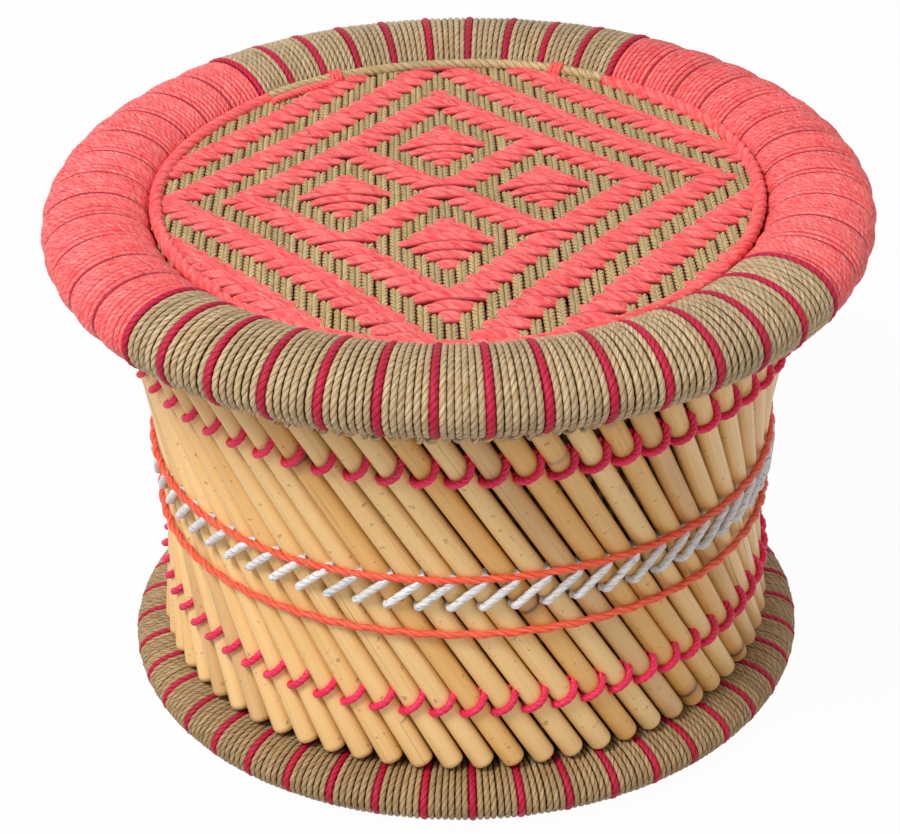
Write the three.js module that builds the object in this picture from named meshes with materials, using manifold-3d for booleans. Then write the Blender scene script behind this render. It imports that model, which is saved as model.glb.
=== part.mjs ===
// A mudda stool: a drum of crossed canes between two rope-wound rims, with a woven rope seat.
// Millimetres, +Z up, origin on the floor under the middle of the stool, front towards -Y.
import * as THREE from "three";
import { mergeVertices } from "three/addons/utils/BufferGeometryUtils.js";
import Module from "manifold-3d";

const wasm = await Module();
wasm.setup();

// Driving dimensions
const STOOL_HEIGHT = 298;
const RIM_OUTER_RADIUS = 225;
const RIM_HALF_WIDTH = 30;
const RIM_HALF_HEIGHT = 21;
const FOOT_OUTER_RADIUS = 191;
const FOOT_HALF_WIDTH = 21;
const FOOT_HALF_HEIGHT = 13;
const ROPE_DIAMETER = 4.1;
const WINDING_WALL = 8;
const CLEARANCE = 0.3;

// The rim's winding, in panels of equal angle: khaki at the front and back, coral at the sides
const PANELS = 48;
const PANEL_ANGLE = THREE.MathUtils.degToRad(360 / PANELS);
const FIRST_BORDER_ANGLE = THREE.MathUtils.degToRad(-47.5);
const FRONT_PANELS = 14;
const SIDE_PANELS = 12;
const BACK_PANELS = PANELS - FRONT_PANELS - 2 * SIDE_PANELS;
const CORAL_GROOVE = 2.6;

// The canes
const CANE_PITCH_SHARE = 0.9235;
const HEAD_PITCH_SHARE = 0.93;
const CANES = 64;
const GROUP_CANES = 4;
const UPPER_LASHING_DROP = 79.5;
const UPPER_CANE_INSET = 48.5;
const LOWER_LASHING_RISE = 40;
const LOWER_CANE_INSET = 27.4;
const CANE_TWIST = THREE.MathUtils.degToRad(24.21);
const FIRST_CANE_ANGLE = THREE.MathUtils.degToRad(-0.415);
const LAYER_GAP = 0.7;
const TIP_RADIUS = 4;
const TIP_LENGTH = 3;
const HOOP_HEIGHT = 6;
const HOOP_MARGIN = 0.6;

// The cords round the canes
const LASHING_CORD = 3.2;
const LASHING_SPARE = 0.5;
const LASHING_RISE = 2.6;
const WAIST_CORD = 3.8;
const WAIST_HEIGHT_SHARE = 0.4905;
const WAIST_RISE = 12;
const GUARD_CORD = 3.8;
const UPPER_GUARD_RISE = 11.7;
const LOWER_GUARD_DROP = 23.3;
const CORD_END_GAP = 2;

// The seat
const SEAT_DROP = 14;
const SEAT_THICKNESS = 9;
const SEAT_EDGE_BEVEL = 2;
const EDGE_CORD = 8;
const EDGE_CORD_MARGIN = 3;

// Facets
const RIM_SIDES = 10;
const CORE_SIDES = 6;
const CORE_STEPS = 24;
const OUTER_CANE_SIDES = 7;
const INNER_CANE_SIDES = 6;
const CORD_SIDES = 4;
const EDGE_CORD_SIDES = 6;
const SEAT_SIDES = 32;
const GUARD_STEPS = 32;
const HOOP_STEPS = 4;
const FOOT_STEPS = 15;

const TURN = 2 * Math.PI;
const HALF_TURN = Math.PI;
const RIM_RADIUS = RIM_OUTER_RADIUS - RIM_HALF_WIDTH;
const RIM_HEIGHT = STOOL_HEIGHT - RIM_HALF_HEIGHT;
const FOOT_RADIUS = FOOT_OUTER_RADIUS - FOOT_HALF_WIDTH;
const EDGE_CORD_RADIUS = RIM_RADIUS - RIM_HALF_WIDTH - EDGE_CORD_MARGIN;

// The canes' places: the upper ones hang from the top rim, and the lower ones follow the foot
const UPPER_HEIGHT = STOOL_HEIGHT - UPPER_LASHING_DROP;
const LOWER_HEIGHT = 2 * FOOT_HALF_HEIGHT + LOWER_LASHING_RISE;
const UPPER_CANE_RADIUS = RIM_OUTER_RADIUS - UPPER_CANE_INSET;
const LOWER_CANE_RADIUS = FOOT_OUTER_RADIUS - LOWER_CANE_INSET;
const CANE_PITCH = (TURN * Math.min(HEAD_PITCH_SHARE * UPPER_CANE_RADIUS, LOWER_CANE_RADIUS)) / CANES;
const CANE_DROP = UPPER_HEIGHT - LOWER_HEIGHT;
const CANE_RUN = place(UPPER_CANE_RADIUS, 0, 0).distanceTo(place(LOWER_CANE_RADIUS, CANE_TWIST, 0));
const PITCH_ACROSS_CANES = (CANE_PITCH * CANE_DROP) / Math.hypot(CANE_DROP, CANE_RUN);
const CANE_RADIUS = (CANE_PITCH_SHARE * PITCH_ACROSS_CANES) / 2;
const LAYER_SPACING = 2 * CANE_RADIUS + LAYER_GAP;
const WAIST_HEIGHT = LOWER_HEIGHT + WAIST_HEIGHT_SHARE * CANE_DROP;
const UPPER_GUARD_HEIGHT = WAIST_HEIGHT + UPPER_GUARD_RISE;
const LOWER_GUARD_HEIGHT = WAIST_HEIGHT - LOWER_GUARD_DROP;

// A place given by its radius, its angle from the front towards +X, and its height
function place(radius, angle, height) {
  return new THREE.Vector3(radius * Math.sin(angle), -radius * Math.cos(angle), height);
}

// The way round the stool at a given angle
function tangentAt(angle) {
  return place(1, angle + HALF_TURN / 2, 0);
}

// Solids: rings of points joined by facets

function meshFromFaces(vertices, faces) {
  const numbers = vertices.flatMap((p) => [p.x, p.y, p.z]);
  const geometry = new THREE.BufferGeometry();
  geometry.setAttribute("position", new THREE.Float32BufferAttribute(numbers, 3));
  geometry.setIndex(faces.flat());
  return pointedOut(geometry);
}

// Six times the volume that the faces hold, negative where they point inwards
function signedVolume(geometry) {
  const position = geometry.getAttribute("position");
  const index = geometry.index.array;
  const corners = [new THREE.Vector3(), new THREE.Vector3(), new THREE.Vector3()];
  let sum = 0;
  for (let i = 0; i < index.length; i += 3) {
    corners.forEach((corner, k) => corner.fromBufferAttribute(position, index[i + k]));
    sum += corners[0].dot(corners[1].clone().cross(corners[2]));
  }
  return sum;
}

function pointedOut(geometry) {
  if (signedVolume(geometry) < 0) {
    const index = geometry.index.array;
    for (let i = 0; i < index.length; i += 3) {
      [index[i + 1], index[i + 2]] = [index[i + 2], index[i + 1]];
    }
  }
  return geometry;
}

// Rings of equal count joined one to the next, with flat ends, or round into the first ring
function loft(rings, closed = false) {
  const sides = rings[0].length;
  const faces = [];
  const spans = closed ? rings.length : rings.length - 1;
  for (let r = 0; r < spans; r++) {
    const here = r * sides;
    const next = ((r + 1) % rings.length) * sides;
    for (let k = 0; k < sides; k++) {
      const l = (k + 1) % sides;
      faces.push([here + k, here + l, next + l], [here + k, next + l, next + k]);
    }
  }
  if (!closed) {
    const last = (rings.length - 1) * sides;
    for (let k = 1; k < sides - 1; k++) {
      faces.push([0, k + 1, k], [last, last + k, last + k + 1]);
    }
  }
  return meshFromFaces(rings.flat(), faces);
}

function toSolid(geometry) {
  const bare = geometry.clone();
  bare.deleteAttribute("normal");
  bare.deleteAttribute("uv");
  const merged = mergeVertices(bare);
  return new wasm.Manifold(
    new wasm.Mesh({
      numProp: 3,
      vertProperties: new Float32Array(merged.getAttribute("position").array),
      triVerts: new Uint32Array(merged.index.array),
    }),
  );
}

function toGeometry(solid) {
  const mesh = solid.getMesh();
  const geometry = new THREE.BufferGeometry();
  geometry.setAttribute("position", new THREE.BufferAttribute(new Float32Array(mesh.vertProperties), 3));
  geometry.setIndex(new THREE.BufferAttribute(new Uint32Array(mesh.triVerts), 1));
  return geometry;
}

function joined(geometries) {
  return toGeometry(geometries.map(toSolid).reduce((sum, solid) => sum.add(solid)));
}

function cutBy(geometry, tool) {
  return toGeometry(toSolid(geometry).subtract(toSolid(tool)));
}

// The two rims. A section is a polygon round the rope's outline: its upright sides touch the
// outline's full width at a corner, and its flat top and bottom lie at the full height.

const TOP_RIM = {
  radius: RIM_RADIUS,
  height: RIM_HEIGHT,
  halfWidth: RIM_HALF_WIDTH,
  halfHeight: RIM_HALF_HEIGHT,
};
const FOOT_RIM = {
  radius: FOOT_RADIUS,
  height: FOOT_HALF_HEIGHT,
  halfWidth: FOOT_HALF_WIDTH,
  halfHeight: FOOT_HALF_HEIGHT,
};

// The sine at a section's highest corners, which end its flat top
const HIGHEST_CORNER = Math.cos(HALF_TURN / RIM_SIDES);

// Corner number k of a rim's section, sunk below the winding's surface by depth
function rimCorner(rim, k, depth) {
  const angle = (k * TURN) / RIM_SIDES;
  return {
    radius: rim.radius + (rim.halfWidth - depth) * Math.cos(angle),
    height: rim.height + ((rim.halfHeight - depth) * Math.sin(angle)) / HIGHEST_CORNER,
  };
}

function rimRing(rim, angle, depthOf) {
  return Array.from({ length: RIM_SIDES }, (_, k) => {
    const corner = rimCorner(rim, k, depthOf(k));
    return place(corner.radius, angle, corner.height);
  });
}

// The rim's surface height under a given radius, on its lower side, or on its upper side
function rimSurface(rim, radius, upper) {
  const corners = Array.from({ length: RIM_SIDES }, (_, k) => rimCorner(rim, k, 0));
  const heights = corners.flatMap((corner, k) => {
    const next = corners[(k + 1) % RIM_SIDES];
    const span = next.radius - corner.radius;
    const share = (radius - corner.radius) / span;
    const onEdge = Math.abs(span) > 0 && share >= 0 && share <= 1;
    return onEdge ? [corner.height + share * (next.height - corner.height)] : [];
  });
  return upper ? Math.max(...heights) : Math.min(...heights);
}

// The bent hoop inside a winding, and the bore that it runs in
function coreRing(rim, spare) {
  const rings = Array.from({ length: CORE_STEPS }, (_, step) => {
    const angle = (step * TURN) / CORE_STEPS;
    return Array.from({ length: CORE_SIDES }, (_, k) => {
      const around = (k * TURN) / CORE_SIDES;
      const width = rim.halfWidth - WINDING_WALL + spare;
      const height = rim.halfHeight - WINDING_WALL + spare;
      return place(rim.radius + width * Math.cos(around), angle, rim.height + height * Math.sin(around));
    });
  });
  return loft(rings, true);
}

// How much wider the bore is than the hoop in it, measured at a corner of their sections
const BORE_SPARE = CLEARANCE / Math.cos(HALF_TURN / CORE_SIDES) / (RIM_HALF_HEIGHT / RIM_HALF_WIDTH);

// Half the angle that one turn of rope takes up, at the rim's inside where turns touch
const TURN_HALF_ANGLE = ROPE_DIAMETER / 2 / (RIM_RADIUS - RIM_HALF_WIDTH);
const GROOVE_HALF_ANGLE = TURN_HALF_ANGLE + CLEARANCE / (RIM_RADIUS - RIM_HALF_WIDTH);
const RECESS_DEPTH = ROPE_DIAMETER + CLEARANCE;
const GROOVE_DEPTH = RECESS_DEPTH + CLEARANCE;

// The flat underside, where the accent cord steps from one turn to the next
const UNDERSIDE_CORNERS = [7, 8];

// Khaki panels with a groove for each accent turn between them
function khakiWinding(firstAngle, panels) {
  const panelDepth = (k) => (UNDERSIDE_CORNERS.includes(k) ? RECESS_DEPTH : 0);
  const grooveDepth = () => GROOVE_DEPTH;
  const rings = [];
  for (let p = 0; p < panels; p++) {
    const start = firstAngle + p * PANEL_ANGLE;
    const end = start + PANEL_ANGLE;
    rings.push(rimRing(TOP_RIM, start + GROOVE_HALF_ANGLE, panelDepth));
    rings.push(rimRing(TOP_RIM, end - GROOVE_HALF_ANGLE, panelDepth));
    if (p < panels - 1) {
      rings.push(rimRing(TOP_RIM, end - GROOVE_HALF_ANGLE, grooveDepth));
      rings.push(rimRing(TOP_RIM, end + GROOVE_HALF_ANGLE, grooveDepth));
    }
  }
  return cutBy(loft(rings), coreRing(TOP_RIM, BORE_SPARE));
}

// Coral cord wound in crowned bands, drawn in between one band and the next
function coralWinding(firstAngle, panels) {
  const rings = [];
  for (let p = 0; p < panels; p++) {
    const start = firstAngle + p * PANEL_ANGLE;
    const pinch = p === 0 ? start + GROOVE_HALF_ANGLE : start;
    rings.push(rimRing(TOP_RIM, pinch, () => CORAL_GROOVE));
    rings.push(rimRing(TOP_RIM, start + PANEL_ANGLE / 2, () => 0));
  }
  const end = firstAngle + panels * PANEL_ANGLE - GROOVE_HALF_ANGLE;
  rings.push(rimRing(TOP_RIM, end, () => CORAL_GROOVE));
  return cutBy(loft(rings), coreRing(TOP_RIM, BORE_SPARE));
}

// One crimson cord: round the rim once between every two panels, then slanting across the
// recessed underside to the next groove
function accentCord(firstAngle, turns) {
  const rings = [];
  const order = Array.from({ length: RIM_SIDES }, (_, k) => (UNDERSIDE_CORNERS[1] + k) % RIM_SIDES);
  for (let t = 0; t < turns; t++) {
    const angle = firstAngle + t * PANEL_ANGLE;
    for (const k of order) {
      const outer = rimCorner(TOP_RIM, k, 0);
      const inner = rimCorner(TOP_RIM, k, ROPE_DIAMETER);
      rings.push([
        place(outer.radius, angle - TURN_HALF_ANGLE, outer.height),
        place(outer.radius, angle + TURN_HALF_ANGLE, outer.height),
        place(inner.radius, angle + TURN_HALF_ANGLE, inner.height),
        place(inner.radius, angle - TURN_HALF_ANGLE, inner.height),
      ]);
    }
  }
  return loft(rings);
}

// Half of the foot's winding, which the stool stands on
function footWinding(middleAngle) {
  const rings = [];
  const halfSpan = HALF_TURN / 2 - CLEARANCE / 2 / (FOOT_RADIUS - FOOT_HALF_WIDTH);
  for (let step = 0; step <= FOOT_STEPS; step++) {
    const angle = middleAngle - halfSpan + (2 * halfSpan * step) / FOOT_STEPS;
    rings.push(rimRing(FOOT_RIM, angle, () => 0));
  }
  return cutBy(loft(rings), coreRing(FOOT_RIM, BORE_SPARE));
}

// The canes: two layers of straight canes that lean opposite ways

const OUTER_LAYER = { inset: 0, lean: 1, sides: OUTER_CANE_SIDES };
const INNER_LAYER = { inset: LAYER_SPACING, lean: -1, sides: INNER_CANE_SIDES };

// The middle of cane number i of a layer at a given height, which may lie past its ends
function canePoint(layer, i, height) {
  const angle = layer.firstAngle + (i * TURN) / CANES;
  const upper = place(UPPER_CANE_RADIUS - layer.inset, angle, UPPER_HEIGHT);
  const lower = place(LOWER_CANE_RADIUS - layer.inset, angle + layer.lean * CANE_TWIST, LOWER_HEIGHT);
  return upper.lerp(lower, (UPPER_HEIGHT - height) / (UPPER_HEIGHT - LOWER_HEIGHT));
}

// Directions on a cane: up along it, outwards from it, and sideways to the next cane
function caneFrame(layer, i, height) {
  const middle = canePoint(layer, i, height);
  const along = canePoint(layer, i, UPPER_HEIGHT).sub(canePoint(layer, i, LOWER_HEIGHT)).normalize();
  const out = new THREE.Vector3(middle.x, middle.y, 0);
  out.addScaledVector(along, -out.dot(along)).normalize();
  const side = out.clone().cross(along).negate();
  return { middle, along, out, side };
}

function angleOf(point) {
  return Math.atan2(point.x, -point.y);
}

OUTER_LAYER.firstAngle = FIRST_CANE_ANGLE;
INNER_LAYER.firstAngle = 0;

const SLANT = Math.acos(caneFrame(OUTER_LAYER, 0, LOWER_HEIGHT).along.z);
const rimUnderside = RIM_HEIGHT - RIM_HALF_HEIGHT;
OUTER_LAYER.hoopTop = rimUnderside - CLEARANCE;
const HEAD_SINK = Math.max(CANE_RADIUS * Math.sin(SLANT), HOOP_HEIGHT / 2);
OUTER_LAYER.head = OUTER_LAYER.hoopTop - HEAD_SINK;

// The two head hoops meet half way between the layers, a clearance apart
const outerHead = canePoint(OUTER_LAYER, 0, OUTER_LAYER.head);
const innerAtHead = canePoint(INNER_LAYER, 0, OUTER_LAYER.head);
const hoopMeeting = (Math.hypot(outerHead.x, outerHead.y) + Math.hypot(innerAtHead.x, innerAtHead.y)) / 2;
OUTER_LAYER.hoopInner = hoopMeeting + CLEARANCE / 2;
OUTER_LAYER.hoopOuter = Math.hypot(outerHead.x, outerHead.y) + CANE_RADIUS + HOOP_MARGIN;
INNER_LAYER.hoopOuter = hoopMeeting - CLEARANCE / 2;
INNER_LAYER.hoopTop = rimSurface(TOP_RIM, INNER_LAYER.hoopOuter, false) - CLEARANCE;
INNER_LAYER.head = INNER_LAYER.hoopTop - HEAD_SINK;
const innerHead = canePoint(INNER_LAYER, 0, INNER_LAYER.head);
INNER_LAYER.hoopInner = Math.hypot(innerHead.x, innerHead.y) - CANE_RADIUS - HOOP_MARGIN;

// Both layers' heads stand at the same angles, so that their hoops have the same joints
const HEAD_ANGLE = angleOf(outerHead);
INNER_LAYER.firstAngle = HEAD_ANGLE - angleOf(innerHead);

// The outer canes stand on the foot's flat top, the inner ones on its inner shoulder
const footTop = 2 * FOOT_HALF_HEIGHT;
OUTER_LAYER.tip = footTop + CLEARANCE + TIP_RADIUS * Math.sin(SLANT);
const innerFoot = canePoint(INNER_LAYER, 0, footTop);
const innerFootRadius = Math.hypot(innerFoot.x, innerFoot.y) + CANE_RADIUS;
INNER_LAYER.tip = rimSurface(FOOT_RIM, innerFootRadius, true) + CLEARANCE + CANE_RADIUS * Math.sin(SLANT);

function caneRing(layer, i, height, lift, radius) {
  const { middle, along, out, side } = caneFrame(layer, i, height);
  return Array.from({ length: layer.sides }, (_, k) => {
    const around = ((k + 0.5) * TURN) / layer.sides;
    return middle
      .clone()
      .addScaledVector(along, lift)
      .addScaledVector(out, radius * Math.cos(around))
      .addScaledVector(side, radius * Math.sin(around));
  });
}

// A straight cane from its head in the hoop down to its tip, with the visible tips rounded
function cane(layer, i) {
  const rings = [caneRing(layer, i, layer.head, 0, CANE_RADIUS)];
  if (layer === OUTER_LAYER) {
    rings.push(caneRing(layer, i, layer.tip, TIP_LENGTH, CANE_RADIUS));
    rings.push(caneRing(layer, i, layer.tip, 0, TIP_RADIUS));
  } else {
    rings.push(caneRing(layer, i, layer.tip, 0, CANE_RADIUS));
  }
  return loft(rings);
}

// The stretch of head hoop that a group of canes is bound to
function hoopStretch(layer, group) {
  const halfSpan = (GROUP_CANES * TURN) / CANES / 2;
  const middle = HEAD_ANGLE + (group * GROUP_CANES + (GROUP_CANES - 1) / 2) * (TURN / CANES);
  const rings = [];
  for (let step = 0; step <= HOOP_STEPS; step++) {
    const share = (2 * step) / HOOP_STEPS - 1;
    const atEnd = Math.abs(share) === 1;
    const joint = atEnd ? (share * CLEARANCE) / 2 / layer.hoopInner : 0;
    const angle = middle + share * halfSpan - joint;
    rings.push([
      place(layer.hoopInner, angle, layer.hoopTop - HOOP_HEIGHT),
      place(layer.hoopOuter, angle, layer.hoopTop - HOOP_HEIGHT),
      place(layer.hoopOuter, angle, layer.hoopTop),
      place(layer.hoopInner, angle, layer.hoopTop),
    ]);
  }
  return loft(rings);
}

function caneGroup(layer, group) {
  const canes = Array.from({ length: GROUP_CANES }, (_, k) => cane(layer, group * GROUP_CANES + k));
  return joined([hoopStretch(layer, group), ...canes]);
}

// Cords

// A tube through the points, whose flat sides face along each point's outward direction
function cordTube(route, thickness, sides) {
  const cornerRadius = thickness / 2 / Math.cos(HALF_TURN / sides);
  const rings = route.map(({ point, out, heading }, k) => {
    const before = route[Math.max(k - 1, 0)].point;
    const after = route[Math.min(k + 1, route.length - 1)].point;
    const travel = heading ?? after.clone().sub(before).normalize();
    const across = travel.clone().cross(out).normalize();
    const up = across.clone().cross(travel).normalize();
    return Array.from({ length: sides }, (_, j) => {
      const around = ((j + 0.5) * TURN) / sides;
      return point
        .clone()
        .addScaledVector(up, cornerRadius * Math.cos(around))
        .addScaledVector(across, cornerRadius * Math.sin(around));
    });
  });
  return loft(rings);
}

// The least gap of a route to itself, between points more than a few steps apart
function leastGap(route, thickness, apart) {
  let least = Infinity;
  for (let i = 0; i < route.length; i++) {
    for (let j = i + apart; j < route.length; j++) {
      least = Math.min(least, route[i].point.distanceTo(route[j].point) - thickness);
    }
  }
  return least;
}

// Each outer cane turns a flat side outwards, at this distance from its middle and this wide
const CANE_FACE = CANE_RADIUS * Math.cos(HALF_TURN / OUTER_CANE_SIDES);
const CANE_FACE_HALF_WIDTH = CANE_RADIUS * Math.sin(HALF_TURN / OUTER_CANE_SIDES);

// A cord that passes square over each outer cane and sinks into the valley before the next.
// It climbs by rise on each cane and drops back in the valley.
function lashingRoute(height, rise, thickness) {
  const route = [];
  const crown = CANE_FACE + LASHING_SPARE + thickness / 2;
  const backCane = CANES / 2;
  for (let n = 0; n < CANES; n++) {
    const i = backCane + n;
    for (const end of [-1, 1]) {
      const { middle, out, side } = caneFrame(OUTER_LAYER, i, height + (end * rise) / 2);
      middle.addScaledVector(out, crown).addScaledVector(side, end * CANE_FACE_HALF_WIDTH);
      route.push({ point: middle, out });
    }
    if (n < CANES - 1) {
      route.push(valleyPoint(i, height, thickness));
    }
  }
  return route;
}

// Where a cord lies between outer canes i and i + 1
function valleyPoint(i, height, thickness) {
  const here = caneFrame(OUTER_LAYER, i, height);
  const next = caneFrame(OUTER_LAYER, i + 1, height);
  const middle = here.middle.clone().lerp(next.middle, 0.5);
  const out = here.out.clone().add(next.out).normalize();
  const halfGap = Math.abs(next.middle.clone().sub(here.middle).dot(here.side)) / 2;
  const reach = CANE_RADIUS + LASHING_SPARE + thickness / Math.SQRT2;
  const lift = Math.sqrt(Math.max(reach * reach - halfGap * halfGap, 0));
  return { point: middle.addScaledVector(out, lift), out };
}

function lashing(name, height, rise, thickness) {
  const route = lashingRoute(height, rise, thickness);
  const apart = 3;
  console.log(`${name}: least gap to itself ${leastGap(route, thickness, apart).toFixed(2)} mm`);
  return cordTube(route, thickness, CORD_SIDES);
}

// How far the outer canes' faces stand from the middle of the stool at a given height
function outerReach(height) {
  const { middle, out } = caneFrame(OUTER_LAYER, 0, height);
  return Math.hypot(middle.x, middle.y) + CANE_FACE / Math.hypot(out.x, out.y);
}

// A taut cord that runs once round over all the outer canes
function guardCord(name, height) {
  const edges = [height - GUARD_CORD / 2, height + GUARD_CORD / 2];
  const caneReach = Math.max(...edges.map(outerReach));
  const chord = Math.cos(HALF_TURN / GUARD_STEPS);
  const radius = (caneReach + CLEARANCE + GUARD_CORD / 2) / chord;
  const endGap = CORD_END_GAP / radius;
  const route = Array.from({ length: GUARD_STEPS + 1 }, (_, step) => {
    const angle = HALF_TURN + endGap / 2 + ((TURN - endGap) * step) / GUARD_STEPS;
    return { point: place(radius, angle, height), out: place(1, angle, 0), heading: tangentAt(angle) };
  });
  console.log(`${name}: least gap to itself ${leastGap(route, 0, GUARD_STEPS).toFixed(2)} mm`);
  return cordTube(route, GUARD_CORD, CORD_SIDES);
}

// The seat

const seatTop = STOOL_HEIGHT - SEAT_DROP;
const seatRadius = (RIM_RADIUS - RIM_HALF_WIDTH) * Math.cos(PANEL_ANGLE / 2) - CLEARANCE;

// The seat is open to sit on inside this radius, where the edge cord stops
const openSeatRadius = EDGE_CORD_RADIUS - EDGE_CORD / 2 - CLEARANCE - EDGE_CORD_MARGIN;

function seatWeb() {
  const profile = [
    new THREE.Vector2(0, seatTop - SEAT_THICKNESS),
    new THREE.Vector2(seatRadius, seatTop - SEAT_THICKNESS),
    new THREE.Vector2(seatRadius, seatTop - SEAT_EDGE_BEVEL),
    new THREE.Vector2(seatRadius - SEAT_EDGE_BEVEL, seatTop),
    new THREE.Vector2(openSeatRadius, seatTop),
    new THREE.Vector2(0, seatTop),
  ];
  const web = new THREE.LatheGeometry(profile, SEAT_SIDES);
  web.rotateX(HALF_TURN / 2);
  return web;
}

// A stretch of the cord that covers the joint between the seat and the rim
function edgeCord(firstAngle, panels) {
  const endSpare = CLEARANCE / EDGE_CORD_RADIUS;
  const height = seatTop + CLEARANCE + EDGE_CORD / 2;
  const steps = panels / 2;
  const route = Array.from({ length: steps + 1 }, (_, step) => {
    const angle = firstAngle + endSpare + ((panels * PANEL_ANGLE - 2 * endSpare) * step) / steps;
    const out = new THREE.Vector3(0, 0, 1);
    return { point: place(EDGE_CORD_RADIUS, angle, height), out, heading: tangentAt(angle) };
  });
  return cordTube(route, EDGE_CORD, EDGE_CORD_SIDES);
}

// Materials

const khaki = new THREE.MeshStandardMaterial({ color: 0xa58a62, roughness: 0.85, metalness: 0 });
const coral = new THREE.MeshStandardMaterial({ color: 0xfb5658, roughness: 0.6, metalness: 0 });
const crimson = new THREE.MeshStandardMaterial({ color: 0xb51f48, roughness: 0.6, metalness: 0 });
const pink = new THREE.MeshStandardMaterial({ color: 0xdf2a5b, roughness: 0.55, metalness: 0 });
const orange = new THREE.MeshStandardMaterial({ color: 0xef5a36, roughness: 0.55, metalness: 0 });
const white = new THREE.MeshStandardMaterial({ color: 0xd9d7dc, roughness: 0.6, metalness: 0 });
const caneSkin = new THREE.MeshStandardMaterial({ color: 0xd9ab6a, roughness: 0.45, metalness: 0 });
const caneShade = new THREE.MeshStandardMaterial({ color: 0xa98353, roughness: 0.6, metalness: 0 });
const reed = new THREE.MeshStandardMaterial({ color: 0x8f7448, roughness: 0.9, metalness: 0 });

// Assembly

const stool = new THREE.Group();

function add(name, geometry, material) {
  geometry.computeVertexNormals();
  const mesh = new THREE.Mesh(geometry, material.clone());
  mesh.name = name;
  stool.add(mesh);
}

const rightBorder = FIRST_BORDER_ANGLE + FRONT_PANELS * PANEL_ANGLE;
const backBorder = rightBorder + SIDE_PANELS * PANEL_ANGLE;
const leftBorder = backBorder + BACK_PANELS * PANEL_ANGLE;

add("top_rim_core", coreRing(TOP_RIM, 0), reed);
add("top_winding_front", khakiWinding(FIRST_BORDER_ANGLE, FRONT_PANELS), khaki);
add("top_winding_right", coralWinding(rightBorder, SIDE_PANELS), coral);
add("top_winding_back", khakiWinding(backBorder, BACK_PANELS), khaki);
add("top_winding_left", coralWinding(leftBorder, SIDE_PANELS), coral);
add("top_accent_front", accentCord(FIRST_BORDER_ANGLE, FRONT_PANELS + 1), crimson);
add("top_accent_back", accentCord(backBorder, BACK_PANELS + 1), crimson);

add("seat_web", seatWeb(), coral);
add("seat_edge_front", edgeCord(FIRST_BORDER_ANGLE, FRONT_PANELS), coral);
add("seat_edge_right", edgeCord(rightBorder, SIDE_PANELS), coral);
add("seat_edge_back", edgeCord(backBorder, BACK_PANELS), khaki);
add("seat_edge_left", edgeCord(leftBorder, SIDE_PANELS), coral);

for (let group = 0; group < CANES / GROUP_CANES; group++) {
  const number = String(group + 1).padStart(2, "0");
  add(`outer_canes_${number}`, caneGroup(OUTER_LAYER, group), caneSkin);
  add(`inner_canes_${number}`, caneGroup(INNER_LAYER, group), caneShade);
}

add("upper_lashing", lashing("upper_lashing", UPPER_HEIGHT, LASHING_RISE, LASHING_CORD), pink);
add("lower_lashing", lashing("lower_lashing", LOWER_HEIGHT, LASHING_RISE, LASHING_CORD), pink);
add("waist_lashing", lashing("waist_lashing", WAIST_HEIGHT, WAIST_RISE, WAIST_CORD), white);
add("upper_guard_cord", guardCord("upper_guard_cord", UPPER_GUARD_HEIGHT), orange);
add("lower_guard_cord", guardCord("lower_guard_cord", LOWER_GUARD_HEIGHT), orange);

add("foot_rim_core", coreRing(FOOT_RIM, 0), reed);
add("foot_winding_front", footWinding(0), khaki);
add("foot_winding_back", footWinding(HALF_TURN), khaki);

export default stool;
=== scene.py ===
# %% [markdown]
# # A mudda stool
# A mudda is a light stool tied together from cane and rope, with no nail or glue in it.
# This one is a waisted drum of crossed canes between two rope-wound rims, with a seat woven
# from rope. The frame below holds the stool's measured solids. Nearly all of them are replaced
# here by finished pieces: real cords with a lay, canes with a skin, and a woven seat.

# %% Load the stool's frame
import math
import bmesh
import bpy
import numpy as np
from mathutils import Matrix, Vector


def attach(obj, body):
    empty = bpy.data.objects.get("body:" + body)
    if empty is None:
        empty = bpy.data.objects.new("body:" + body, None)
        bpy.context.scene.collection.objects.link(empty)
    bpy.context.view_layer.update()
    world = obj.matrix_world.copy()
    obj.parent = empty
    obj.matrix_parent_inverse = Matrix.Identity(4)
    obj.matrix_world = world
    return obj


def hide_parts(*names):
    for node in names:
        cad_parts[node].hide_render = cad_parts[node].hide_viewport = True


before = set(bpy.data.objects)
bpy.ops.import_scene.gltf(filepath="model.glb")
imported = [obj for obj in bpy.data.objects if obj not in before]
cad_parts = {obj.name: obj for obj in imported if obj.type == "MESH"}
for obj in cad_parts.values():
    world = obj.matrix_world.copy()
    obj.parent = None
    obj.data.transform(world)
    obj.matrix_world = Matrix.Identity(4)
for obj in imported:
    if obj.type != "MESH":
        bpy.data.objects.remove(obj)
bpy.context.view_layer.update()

# %% [markdown]
# Everything on the stool goes round its middle, so a place is given by a radius, an angle
# from the front towards +X, and a height. NumPy works out thousands of such places at once,
# which matters here: there are about 140 metres of rope and cord to lay.

# %% Places round the stool
def place(radius, angle, height):
    """Points at a radius, at an angle in degrees from the front, and at a height."""
    turn = np.radians(angle)
    return np.stack(np.broadcast_arrays(radius * np.sin(turn), -radius * np.cos(turn), height), axis=-1)


def unit(vectors):
    return vectors / np.linalg.norm(vectors, axis=-1, keepdims=True)


def eased(share):
    """From 0 to 1 with a soft start and a soft end."""
    share = np.clip(share, 0, 1)
    return share * share * (3 - 2 * share)


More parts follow.
